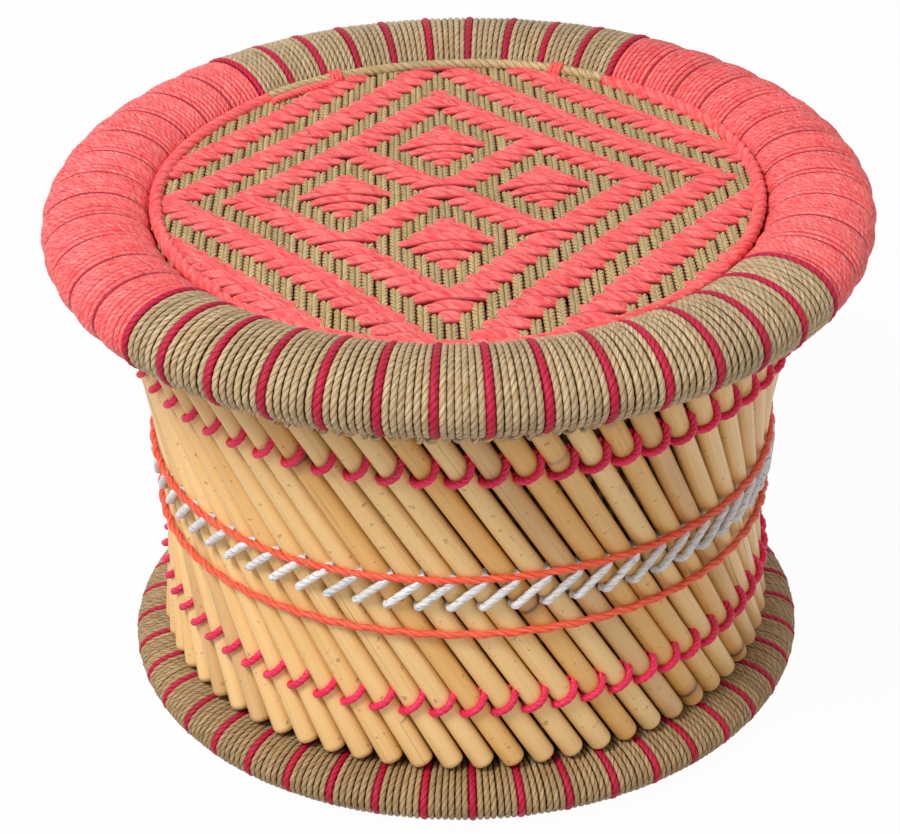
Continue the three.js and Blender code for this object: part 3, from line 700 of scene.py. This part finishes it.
def cane_point(layer, number, height):
    angle = layer["first"] + number * PITCH
    upper = place(UPPER_CANE_RADIUS - layer["inset"], angle, UPPER_HEIGHT)
    lower = place(LOWER_CANE_RADIUS - layer["inset"], angle + layer["lean"] * CANE_TWIST, LOWER_HEIGHT)
    share = np.asarray((UPPER_HEIGHT - height) / (UPPER_HEIGHT - LOWER_HEIGHT))[..., None]
    return upper + (lower - upper) * share


def cane_frame(layer, number, height):
    """A cane's middle at a height, and the directions along it, out of it and sideways."""
    middle = cane_point(layer, number, height)
    along = unit(cane_point(layer, number, UPPER_HEIGHT) - cane_point(layer, number, LOWER_HEIGHT))
    out = middle * (1, 1, 0)
    out = unit(out - (out * along).sum(-1, keepdims=True) * along)
    return middle, along, out, -np.cross(out, along)


def angle_of(point):
    return math.degrees(math.atan2(point[0], -point[1]))


head_angle = angle_of(cane_point(OUTER, 0, OUTER["head"]))
INNER["first"] = head_angle - angle_of(cane_point(INNER, 0, INNER["head"]))
print("heads stand at", round(head_angle, 2), "degrees")

# %% [markdown]
# The cane's finish is a second node group: a smooth skin with fine lengthwise grain, thin
# scratches, small specks, a few brown patches, and a ring where a leaf once grew. It reads the
# same map as the cords, and two values that each cane has for itself: its tone and how brown it is.

# %% Cane finish
CANE_SHINE = 0.5
CANE_RELIEF, CANE_RELIEF_STRENGTH = 0.00025, 0.6
cane_finish, given, made = new_group("cane finish", ("Pale", "Golden", "Brown", "Grey"), {})
along, turned = cord_map(cane_finish)
tone, brownness = mesh_value(cane_finish, "tone"), mesh_value(cane_finish, "valley")


def on_skin(round_cane, along_cane, seed, detail):
    """A noise stretched over the skin, different on each cane."""
    return noise(joined_vector(turned * round_cane, along * along_cane, tone * seed), 1.0, detail)


grain = on_skin(22.0, 14.0, 31.0, 4.0)
broad = on_skin(2.2, 9.0, 57.0, 2.0)
scratch = spread(on_skin(34.0, 7.0, 83.0, 3.0), 0.66, 0.74)
patch = spread(on_skin(1.6, 17.0, 23.0, 4.0), 0.7, 0.8)
speck = spread(on_skin(9.0, 260.0, 41.0, 1.0), 0.7, 0.76)
stain = brownness * spread(broad, 0.25, 0.7, 0.35, 0.95)

# A leaf grew from a ring about every quarter of a metre, and some canes show it
from_ring = maths("ABSOLUTE", maths("FRACT", along * 4.1 + tone * 9.7) - 0.5)
shows_ring = spread(tone, 0.66, 0.7)
ring_mark = spread(from_ring, 0.003, 0.007, 1.0, 0.0) * shows_ring
ring_stain = spread(from_ring + broad * -0.022, -0.004, 0.022, 0.6, 0.0) * shows_ring

colour = mixed(spread(tone + broad * 0.8, 0.15, 1.35), given["Pale"], given["Golden"])
for share, tint in ((spread(grain, 0.5, 0.8) * 0.22, "Brown"), (speck * 0.45, "Grey"), (stain, "Brown"),
                    (patch * 0.5, "Grey"), (scratch * 0.45, "Grey"), (ring_stain, "Brown"),
                    (ring_mark * 0.8, "Grey")):
    colour = mixed(share, colour, given[tint])
feed(made["Color"], colour)
feed(made["Roughness"], spread(grain, 0.3, 0.7, 0.27, 0.46))
feed(made["Height"], grain * 0.5 - (scratch + ring_mark))


def cane_material(name, *codes):
    tints = dict(zip(("Pale", "Golden", "Brown", "Grey"), map(linear, codes)))
    return finish_material(name, cane_finish, CANE_SHINE, CANE_RELIEF, CANE_RELIEF_STRENGTH, **tints)


CANE = cane_material("cane skin", "f4cf92", "e3ae63", "a56a3e", "5f402c")
# The inner canes are the same cane painted dark: painted shade, because they lie in the shadow behind the
# outer layer.
SHADED_INNER_CANE = cane_material("shaded inner cane skin", "8c6739", "714d24", "4a2e17", "332318")
print("cane materials:", CANE.name, "and", SHADED_INNER_CANE.name)

# %% One cane, modelled by hand
CANE_SIDES = 18
CUTS = (0.12, 0.25, 0.37, 0.5, 0.63, 0.75, 0.88)
TIP_ROUNDING, HEAD_BEVEL = 0.0037, 0.0006


def select_faces(piece, chosen):
    """Selects, in edit mode, only the faces that chosen says yes to."""
    bpy.ops.mesh.select_mode(type="FACE")
    bpy.ops.mesh.select_all(action="DESELECT")
    shape = bmesh.from_edit_mesh(piece.data)
    for face in shape.faces:
        face.select = bool(chosen(face))
    shape.select_flush_mode()
    bmesh.update_edit_mesh(piece.data)


def model_cane(length):
    bpy.ops.object.select_all(action="DESELECT")
    bpy.ops.mesh.primitive_cylinder_add(vertices=CANE_SIDES, radius=CANE_RADIUS, depth=length,
                                        location=(0, 0, length / 2))
    cane = bpy.context.object
    bpy.ops.object.transform_apply(location=True, rotation=True, scale=True)
    bpy.ops.object.mode_set(mode="EDIT")
    for share in CUTS:
        bpy.ops.mesh.select_all(action="SELECT")
        bpy.ops.mesh.bisect(plane_co=(0, 0, length * share), plane_no=(0, 0, 1))
    select_faces(cane, lambda face: face.normal.z < -0.9)
    bpy.ops.mesh.bevel(offset=TIP_ROUNDING, segments=4, affect="EDGES")
    select_faces(cane, lambda face: face.normal.z > 0.9)
    bpy.ops.mesh.bevel(offset=HEAD_BEVEL, segments=1, affect="EDGES")
    bpy.ops.object.mode_set(mode="OBJECT")
    bpy.ops.object.shade_smooth_by_angle(angle=math.radians(50))
    return cane


def map_cane(mesh):
    """Writes the length along the cane and the way round it into the cane's map."""
    layer = mesh.uv_layers.active or mesh.uv_layers.new()
    layer.name = "cord"
    for face in mesh.polygons:
        centre = math.atan2(face.center.y, face.center.x) / (2 * math.pi)
        for corner in face.loop_indices:
            point = mesh.vertices[mesh.loops[corner].vertex_index].co
            share = math.atan2(point.y, point.x) / (2 * math.pi)
            share += round(centre - share) if point.xy.length > 1e-6 else centre - share
            layer.data[corner].uv = (point.z, share)


for layer in (OUTER, INNER):
    whole = cane_point(layer, 0, layer["head"]) - cane_point(layer, 0, layer["tip"])
    layer["cane"] = model_cane(float(np.linalg.norm(whole)))
    map_cane(layer["cane"].data)
print("a cane has", len(OUTER["cane"].data.polygons), "faces")

# %% [markdown]
# The heads of the canes are tied to a hoop, of which each group of four has its own stretch.
# A plane that is turned upright and spun through the group's angle makes the hoop.

# %% One stretch of hoop
HOOP_HEIGHT = 0.006
HOOP_GAP, HOOP_MARGIN, JOINT = 0.0003, 0.0006, 0.002
head_radii = [float(np.hypot(*cane_point(layer, 0, OUTER["head"])[:2])) for layer in (OUTER, INNER)]
hoops_meet = sum(head_radii) / 2
innermost = float(np.hypot(*cane_point(INNER, 0, INNER["head"])[:2])) - CANE_RADIUS - HOOP_MARGIN
OUTER["hoop"] = (hoops_meet + HOOP_GAP / 2, head_radii[0] + CANE_RADIUS + HOOP_MARGIN)
INNER["hoop"] = (innermost, hoops_meet - HOOP_GAP / 2)


def model_hoop(layer):
    inner, outer = layer["hoop"]
    bpy.ops.object.select_all(action="DESELECT")
    bpy.ops.mesh.primitive_plane_add(size=1)
    hoop = bpy.context.object
    bpy.ops.object.mode_set(mode="EDIT")
    bpy.ops.mesh.select_all(action="SELECT")
    bpy.ops.transform.resize(value=(outer - inner, HOOP_HEIGHT, 1))
    bpy.ops.transform.rotate(value=math.radians(90), orient_axis="X", center_override=(0, 0, 0))
    bpy.ops.transform.translate(value=((inner + outer) / 2, 0, layer["hoop_top"] - HOOP_HEIGHT / 2))
    span = 2 * math.pi * GROUP_CANES / CANES - JOINT
    bpy.ops.mesh.spin(steps=6, angle=span, center=(0, 0, 0), axis=(0, 0, 1))
    bpy.ops.mesh.select_all(action="SELECT")
    bpy.ops.mesh.remove_doubles(threshold=0.00001)
    bpy.ops.mesh.normals_make_consistent(inside=False)
    bpy.ops.object.mode_set(mode="OBJECT")
    return hoop


for layer in (OUTER, INNER):
    layer["hoop_piece"] = model_hoop(layer)
print("a hoop stretch has", len(OUTER["hoop_piece"].data.polygons), "faces")

# %% Sixteen groups in each layer
GIRTH_SPREAD, THINNEST, THICKEST = 0.022, 0.955, 1.035
BOWED = 0.00035


def set_values(mesh, **values):
    for name, value in values.items():
        layer = mesh.attributes.new(name, "FLOAT", "POINT")
        layer.data.foreach_set("value", np.full(len(mesh.vertices), value, np.float32))


def own_copy(pattern, name):
    mesh = pattern.data.copy()
    piece = bpy.data.objects.new(name, mesh)
    scene.collection.objects.link(piece)
    points = np.empty(len(mesh.vertices) * 3)
    mesh.vertices.foreach_get("co", points)
    return piece, points.reshape(-1, 3)


def put_cane(layer, number):
    piece, points = own_copy(layer["cane"], "cane")
    middle, along, out, side = cane_frame(layer, number, layer["tip"])
    girth = np.clip(chance.normal(1.0, GIRTH_SPREAD), THINNEST, THICKEST)
    length = points[:, 2].max()
    bow = np.sin(np.pi * points[:, 2] / length) * chance.normal(0, BOWED)
    placed = (middle + along * points[:, 2:] + out * points[:, :1] * girth
              + side * (points[:, 1:2] * girth + bow[:, None]))
    piece.data.vertices.foreach_set("co", placed.ravel())
    piece.data.update()
    return piece


def join_pieces(pieces, name):
    bpy.ops.object.select_all(action="DESELECT")
    for piece in pieces:
        piece.select_set(True)
    bpy.context.view_layer.objects.active = pieces[0]
    bpy.ops.object.join()
    pieces[0].name = name
    return pieces[0]


def put_hoop(layer, group):
    hoop, points = own_copy(layer["hoop_piece"], "hoop")
    turn = math.radians(head_angle + (group * GROUP_CANES - 0.5) * PITCH - 90)
    spun = np.stack([points[:, 0] * math.cos(turn) - points[:, 1] * math.sin(turn),
                     points[:, 0] * math.sin(turn) + points[:, 1] * math.cos(turn), points[:, 2]], -1)
    hoop.data.vertices.foreach_set("co", spun.ravel())
    hoop.data.update()
    set_values(hoop.data, tone=0.5, valley=0.5)
    return hoop


def cane_group(layer, name, group, material):
    """Four canes and their stretch of hoop, joined into one piece."""
    members = []
    for number in range(group * GROUP_CANES, (group + 1) * GROUP_CANES):
        members.append(put_cane(layer, number))
        brown = 0.5 if chance.random() < 0.07 else 0.08 * chance.random()
        set_values(members[-1].data, tone=chance.random(), valley=brown)
    bundle = join_pieces(members + [put_hoop(layer, group)], f"{name}_cane_group_{group + 1:02d}")
    finished(bundle, material, f"{name}_canes_{group + 1:02d}")


chance = np.random.default_rng(5)
for group in range(CANES // GROUP_CANES):
    cane_group(OUTER, "outer", group, CANE)
for group in range(CANES // GROUP_CANES):
    cane_group(INNER, "inner", group, SHADED_INNER_CANE)
for layer in (OUTER, INNER):
    bpy.data.objects.remove(layer["cane"])
    bpy.data.objects.remove(layer["hoop_piece"])
print("canes:", 2 * CANES)

# %% [markdown]
# ## The lashings
# A crimson cord ties the outer canes near their heads and again near the foot. It comes out of
# the gap at the left of a cane, passes square over it, rises along the right edge and sinks
# into the next gap. The route is worked out cane by cane and smoothed into one line.

# %% Crimson lashings
LASHING = 0.0042
LASHING_RISE = 0.0026
LASHING_OFF = 0.47
WRAPS_FROM, WRAPS_TO = -105, 100
STOPS = 9


def lashing_piece(name, height, pull, seed):
    """A cord that wraps each outer cane in turn, and is pulled up at the cane's right edge."""
    turn = np.radians(np.linspace(WRAPS_FROM, WRAPS_TO, STOPS))[:, None]
    share = np.linspace(-1, 1, STOPS)[:, None]
    lifted = LASHING_RISE / 2 * share + pull * eased((share - 0.15) / 0.85)
    stops, outs = [], []
    for number in range(CANES // 2, -CANES // 2, -1):
        middle, along, out, side = cane_frame(OUTER, number, height)
        outs.append(np.cos(turn) * out + np.sin(turn) * side)
        stops.append(middle + (CANE_RADIUS + LASHING_OFF * LASHING) * outs[-1] + along * lifted)
    route = line_through(np.concatenate(stops), 3)
    out = unit(line_through(np.concatenate(outs), 3))
    chance = np.random.default_rng(seed)
    tones = np.repeat(chance.uniform(-1, 1, CANES), math.ceil(len(route) / CANES))[:len(route)]
    cord_piece(name, PINK, "crimson_cord", name, route, out, LASHING / 2, LASHING / 2, tones, lay=0.010,
               depth=0.14, corners=4)


lashing_piece("upper_lashing", UPPER_HEIGHT, 0.004, 41)
lashing_piece("lower_lashing", LOWER_HEIGHT, 0.003, 42)

# %% [markdown]
# Round the waist a thick white cord is sewn in a stem stitch. Each stitch comes out low in a gap,
# climbs over two canes, sinks into a gap high up, and goes back behind one cane, where it is
# squeezed flat between the layers. A taut orange cord runs round at the stitches' upper ends and
# another below them. They were tied by hand, so all three hang a little lower at the sides.

# %% White stitches
WAIST_CORD = 0.0047
WAIST_OFF = 0.45
STITCH_LOW, STITCH_HIGH = 0.1300, 0.1502
STITCH_SPAN = 2
STITCH_POINTS = 24
EDGE_SHARE = 0.13
SQUEEZED = 0.14
BEHIND = CANE_RADIUS + 0.0004
SAG = 0.0024


def sagging(angle):
    return -SAG * np.sin(np.radians(angle)) ** 2


def stitch_route(number):
    """One stitch in front and its way back: its points, the way out there and how full it is."""
    share = np.arange(STITCH_POINTS) / STITCH_POINTS
    lift = np.sin(np.pi / 2 * np.minimum(1, np.minimum(share, 1 - share) / EDGE_SHARE))
    start, rise = number - 0.5, STITCH_HIGH - STITCH_LOW
    front = cane_point(OUTER, start + STITCH_SPAN * share, STITCH_LOW + rise * share)
    hidden = np.arange(STITCH_POINTS // 2) / (STITCH_POINTS // 2)
    behind = np.sin(np.pi * hidden) ** 0.5
    back = cane_point(OUTER, start + STITCH_SPAN - (STITCH_SPAN - 1) * hidden, STITCH_HIGH - rise * hidden)
    middle = np.concatenate([front, back])
    raised = np.concatenate([lift * (CANE_RADIUS + WAIST_OFF * WAIST_CORD), -behind * BEHIND])
    fullness = np.concatenate([np.ones(STITCH_POINTS), 1 - (1 - SQUEEZED) * behind])
    out = unit(middle * (1, 1, 0))
    return middle + out * raised[:, None], out, fullness


stitches = [stitch_route(number) for number in range(-CANES // 2, CANES // 2)]
route, out, fullness = (np.concatenate(parts) for parts in zip(*stitches))
route[:, 2] += sagging(np.degrees(np.arctan2(route[:, 0], -route[:, 1])))
chance = np.random.default_rng(43)
tones = np.repeat(chance.uniform(-1, 1, CANES), len(stitches[0][0]))
cord_piece("waist_lashing", WHITE_CORD, "white_cord", "waist_lashing", route, out, WAIST_CORD / 2,
           WAIST_CORD / 2 * fullness, tones, lay=0.016, depth=0.07, corners=4)

# %% Orange cords
GUARD_CORD = 0.0040
GUARD_OFF = 0.46
GUARD_STEPS = 1440
DIP, WANDER = 0.0004, 0.0005


def guard_cord(name, height, seed):
    middle = cane_point(OUTER, 0, height)
    reach = np.hypot(*middle[:2]) + CANE_RADIUS + GUARD_OFF * GUARD_CORD
    angle = np.linspace(0, 360, GUARD_STEPS, endpoint=False)
    dip = DIP * (1 - np.cos(np.radians((angle - angle_of(middle)) * CANES)))
    wander = WANDER * (np.sin(np.radians(3 * angle + seed)) + 0.4 * np.cos(np.radians(angle * CANES)))
    route = place(reach - dip, angle, height + wander + sagging(angle))
    tones = 0.5 * np.sin(np.radians(5 * angle)) + 0.3
    cord_piece(name, ORANGE, "orange_cord", name, route, place(1.0, angle, 0.0), GUARD_CORD / 2,
               GUARD_CORD / 2, tones, closed=True, lay=0.021, depth=0.2, corners=4)


guard_cord("upper_guard_cord", 0.1500, 20)
guard_cord("lower_guard_cord", 0.1142, 140)

# %% [markdown]
# ## The woven seat
# Khaki warps run from front to back, each a pair of thin ropes with opposite lay, which is why a
# warp looks like an ear of wheat. Coral wefts run from left to right. Where a weft floats over
# several warps it swells and bows towards the back, and covers the ends of the khaki beside it.
# Which of the two lies on top is the draft: four small diamonds set in a square,
# with rings of khaki and coral going out from it. The draft is a rule, so it is written as one.

# %% The draft
def coral_on_top(warp, row):
    """True where the coral weft lies over the khaki warp. Both are counted from the middle."""
    aside, away = np.abs(warp), np.abs(row)
    ring = aside + away
    cross = np.abs(aside - away) <= 1
    side_diamond = np.abs(aside - 8) + away <= 3
    end_diamond = aside + np.abs(away - 8) <= 3
    return ((ring < 15) & (cross | side_diamond | end_diamond)) | ((ring >= 15) & ((ring - 15) % 6 < 3))


WARPS = np.arange(-27, 28)
ROWS = np.arange(-24, 28)
over = coral_on_top(WARPS[:, None], ROWS[None, :])
print("coral on top in", round(100 * over.mean()), "% of the seat")

# %% [markdown]
# Rows lie closest near the middle and widest apart at the front, and the whole weave is slightly
# turned, as weaving by hand leaves it. One function gives the place of any warp and row, also between them,
# and a second one how far apart the rows lie there.

# %% Places in the weave
SEAT_HEIGHT = 0.2818
THREAD_END = 0.1650
WEAVE_MIDDLE = (-0.0072, 0.0034)
WARP_PITCH, WARP_CLOSING, WARP_SLANT = 0.00675, 0.002, 0.02
ROW_PITCH, ROW_CLOSING, ROW_EASING, ROW_SLANT = 0.0069, 0.00003, 0.0000027, 0.00045
STEP_FROM, STEP_SHARE = 0.2, 0.6


def weave_place(warp, row):
    y = WEAVE_MIDDLE[1] + ROW_SLANT * warp + ROW_PITCH * row - ROW_CLOSING * row**2 + ROW_EASING * row**3
    x = WEAVE_MIDDLE[0] + warp * (WARP_PITCH - WARP_CLOSING * y) - WARP_SLANT * y
    return x, y


def row_spacing(row):
    return ROW_PITCH - 2 * ROW_CLOSING * row + 3 * ROW_EASING * row**2


def between(levels, position):
    """Levels given at whole numbers from the first, eased from one to the next."""
    low = np.clip(np.floor(position).astype(int), 0, len(levels) - 2)
    return levels[low] + (levels[low + 1] - levels[low]) * eased((position - low - STEP_FROM) / STEP_SHARE)


print("rows lie", row_spacing(np.array([-18, 2, 22])).round(4), "metres apart at the front, middle and back")

# %% Khaki warps
STRAND_RADIUS = 0.00182
STRAND_LAY = 0.0105
STRAND_APART = 0.84
STRAND_STEP = 0.2
THREAD_STRAY = 0.03
WARP_LIFT = 0.0024
SHORTEST = 8


def warp_strand(number, side, chance):
    rows = np.arange(ROWS[0], ROWS[-1], STRAND_STEP)
    levels = np.where(over[number - WARPS[0]], -1.0, 1.0)
    lift = between(levels, rows - ROWS[0]) * WARP_LIFT
    x, y = weave_place(number + chance.normal(0, THREAD_STRAY), rows)
    x = x + side * STRAND_RADIUS * STRAND_APART + UNEVEN * np.sin(rows * 1.3 + number)
    kept = np.hypot(x, y) < THREAD_END
    return np.stack([x, y, SEAT_HEIGHT + lift], -1)[kept]


def warps_piece(name, numbers, seed):
    chance = np.random.default_rng(seed)
    store = new_store()
    for number in numbers:
        for side in (-1, 1):
            route = warp_strand(number, side, chance)
            if len(route) > SHORTEST:
                laid = cord_rings(route, np.array((0.0, 0.0, 1.0)), STRAND_RADIUS, STRAND_RADIUS * 1.05,
                                  lay=STRAND_LAY * side, depth=0.3)
                keep_rings(store, laid, np.full(len(route), chance.uniform(-1, 1)))
    piece_from(store, name, WARP_KHAKI, "seat_web")


warps_piece("seat_warps_left", WARPS[WARPS < 0], 51)
warps_piece("seat_warps_right", WARPS[WARPS >= 0], 52)

# %% [markdown]
# A weft is wide and soft. Where it floats over warps it swells and bows towards the back, the
# more the longer the float, and leans over the row behind it like a roof tile. Just beyond the
# last warp of a float it dives steeply, which gives the float its rounded end.

# %% Coral wefts
WEFT_HALF_HEIGHT = 0.0029
WEFT_LIFT = 0.0018
FLOAT_REACH = 0.6
DIVE = 0.4
WEFT_LAY = 0.030
WEFT_STEP = 0.15
BOW_PER_WARP = 0.0005
MOST_BOW = 0.0034
RISE_SHARE = 0.6
LEANING = math.radians(9)
NARROW, FULLER, TAPER = 0.46, 0.11, 0.6
FLOAT_ROUNDNESS = 0.4
# Painted light and shade: a swollen float is painted a little lighter through its tone, and where a weft
# dives under the warps its valley value paints shade.
SWOLLEN_PAINTED_LIGHT, SUNK_PAINTED_SHADE = 0.4, 0.55


def float_runs(flags):
    """The first and the last warp of each run in which the weft lies on top."""
    edges = np.flatnonzero(np.diff(np.concatenate([[0], flags.astype(int), [0]])))
    return zip(edges[::2] + WARPS[0], edges[1::2] - 1 + WARPS[0])


def weft_shape(row, fine):
    """How high, how swollen and how bowed a weft is at each fine warp position."""
    raised, swell, bow = np.zeros((3, len(fine)))
    for first, last in float_runs(over[:, row - ROWS[0]]):
        reach = (last - first) / 2 + FLOAT_REACH
        aside = np.abs(fine - (first + last) / 2)
        raised = np.maximum(raised, eased((reach + DIVE - aside) / DIVE))
        share = np.clip(1 - (aside / (reach + DIVE)) ** 2, 0, 1)
        swell = np.maximum(swell, share**FLOAT_ROUNDNESS)
        bow = np.maximum(bow, share * min(BOW_PER_WARP * (last - first + 1), MOST_BOW))
    return raised, swell, bow


def weft_route(row, chance):
    fine = np.arange(WARPS[0], WARPS[-1], WEFT_STEP)
    raised, swell, bow = weft_shape(row, fine)
    x, y = weave_place(fine, row + chance.normal(0, THREAD_STRAY))
    z = SEAT_HEIGHT + WEFT_LIFT * (2 * raised - 1) + RISE_SHARE * bow
    kept = np.hypot(x, y) < THREAD_END
    return np.stack([x, y + bow, z], -1)[kept], raised[kept], swell[kept]


def wefts_piece(name, rows, seed):
    chance = np.random.default_rng(seed)
    store = new_store()
    for row in rows:
        route, raised, swell = weft_route(row, chance)
        if len(route) <= SHORTEST:
            continue
        full = swell * raised
        lean = LEANING * full
        out = np.stack([0 * lean, -np.sin(lean), np.cos(lean)], -1)
        half_width = row_spacing(row) * (NARROW + FULLER * full) * (1 - TAPER * raised * (1 - swell))
        laid = cord_rings(route, out, half_width, WEFT_HALF_HEIGHT * (0.5 + 0.5 * full), strands=2, corners=6,
                          lay=WEFT_LAY, depth=0.12)
        keep_rings(store, laid, SWOLLEN_PAINTED_LIGHT * swell + chance.uniform(-0.5, 0.5), SUNK_PAINTED_SHADE * (1 - raised))
    piece_from(store, name, WEFT, "seat_web")


for part, rows, seed in zip(("front", "middle", "back"), np.split(ROWS, [18, 33]), (61, 62, 63)):
    wefts_piece(f"seat_wefts_{part}", rows, seed)

# %% [markdown]
# A cord covers the joint between the seat and the rim: khaki at the back, coral elsewhere.

# %% Edge cords
EDGE_RADIUS = 0.1628
EDGE_LAY = 0.024
EDGE_WAVE = 0.0005


def edge_cord(name, node, start, end, material, slot, thickness, height, seed, lay=EDGE_LAY, depth=0.16,
              radius=EDGE_RADIUS):
    angle = np.arange(start + 0.2, end - 0.2, 0.35)
    route = place(radius + EDGE_WAVE * np.sin(np.radians(angle * 7 + seed)), angle, height)
    cord_piece(name, material, slot, node, route, place(0.0, angle, 1.0), thickness / 2, thickness / 2,
               0.5 * np.sin(np.radians(angle * 9)), lay=lay, depth=depth, corners=4)


for side, start, end, thickness, height, seed in (
        ("front", -49, 58.8, 0.0066, 0.2838, 10), ("right", 58.8, 148.6, 0.0080, 0.2855, 30),
        ("back", 148.6, 220.9, 0.0062, 0.2868, 50), ("left", 220.9, 311, 0.0078, 0.2855, 70)):
    khaki = side == "back"
    edge_cord(f"seat_edge_{side}", f"seat_edge_{side}", start, end, KHAKI_EDGE if khaki else CORAL_EDGE,
              "khaki_rope" if khaki else "coral_cord", thickness, height, seed, 0.015 if khaki else EDGE_LAY)

# %% [markdown]
# At the back the coral cord's end lies along the khaki one for some four centimetres, and two
# short coral bindings hold the khaki cord to the rim.

# %% Coral end and bindings at the back
BINDINGS_AT = (205.5, 159.0)
BINDING_TURNS, BINDING_STEPS = 3, 84
BINDING_RADIUS, BINDING_HEIGHT, BINDING_PITCH = 0.0040, 0.2862, 0.85
edge_cord("coral_end_back", "seat_edge_left", 206, 222, CORAL_EDGE, "coral_cord", 0.0050, 0.2868, 90,
          lay=0.010, depth=0.34, radius=0.1568)

store = new_store()
for centre in BINDINGS_AT:
    winding = np.linspace(0, BINDING_TURNS, BINDING_STEPS)
    across, rise = np.cos(2 * np.pi * winding), np.sin(2 * np.pi * winding)
    angle = centre + (winding - BINDING_TURNS / 2) * BINDING_PITCH
    route = place(EDGE_RADIUS + BINDING_RADIUS * across, angle, BINDING_HEIGHT + BINDING_RADIUS * rise)
    laid = cord_rings(route, place(across, angle, rise), 0.0013, 0.0012, lay=0.010, depth=0.14)
    keep_rings(store, laid, 0.2 * np.sin(winding))
piece_from(store, "coral_bindings_back", CORAL_EDGE, "seat_edge_back")

# %% [markdown]
# ## What is left of the frame
# The two hoops of reed inside the windings keep their measured shape. They hardly show, but
# they get the reed's own colour and grain.

# %% Reed hoops
REED = cane_material("reed", "b39a6a", "8f7448", "6f5632", "4a3a24")
for node in ("top_rim_core", "foot_rim_core"):
    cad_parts[node].data.materials.clear()
    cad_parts[node].data.materials.append(REED)
    print("reed on", node)
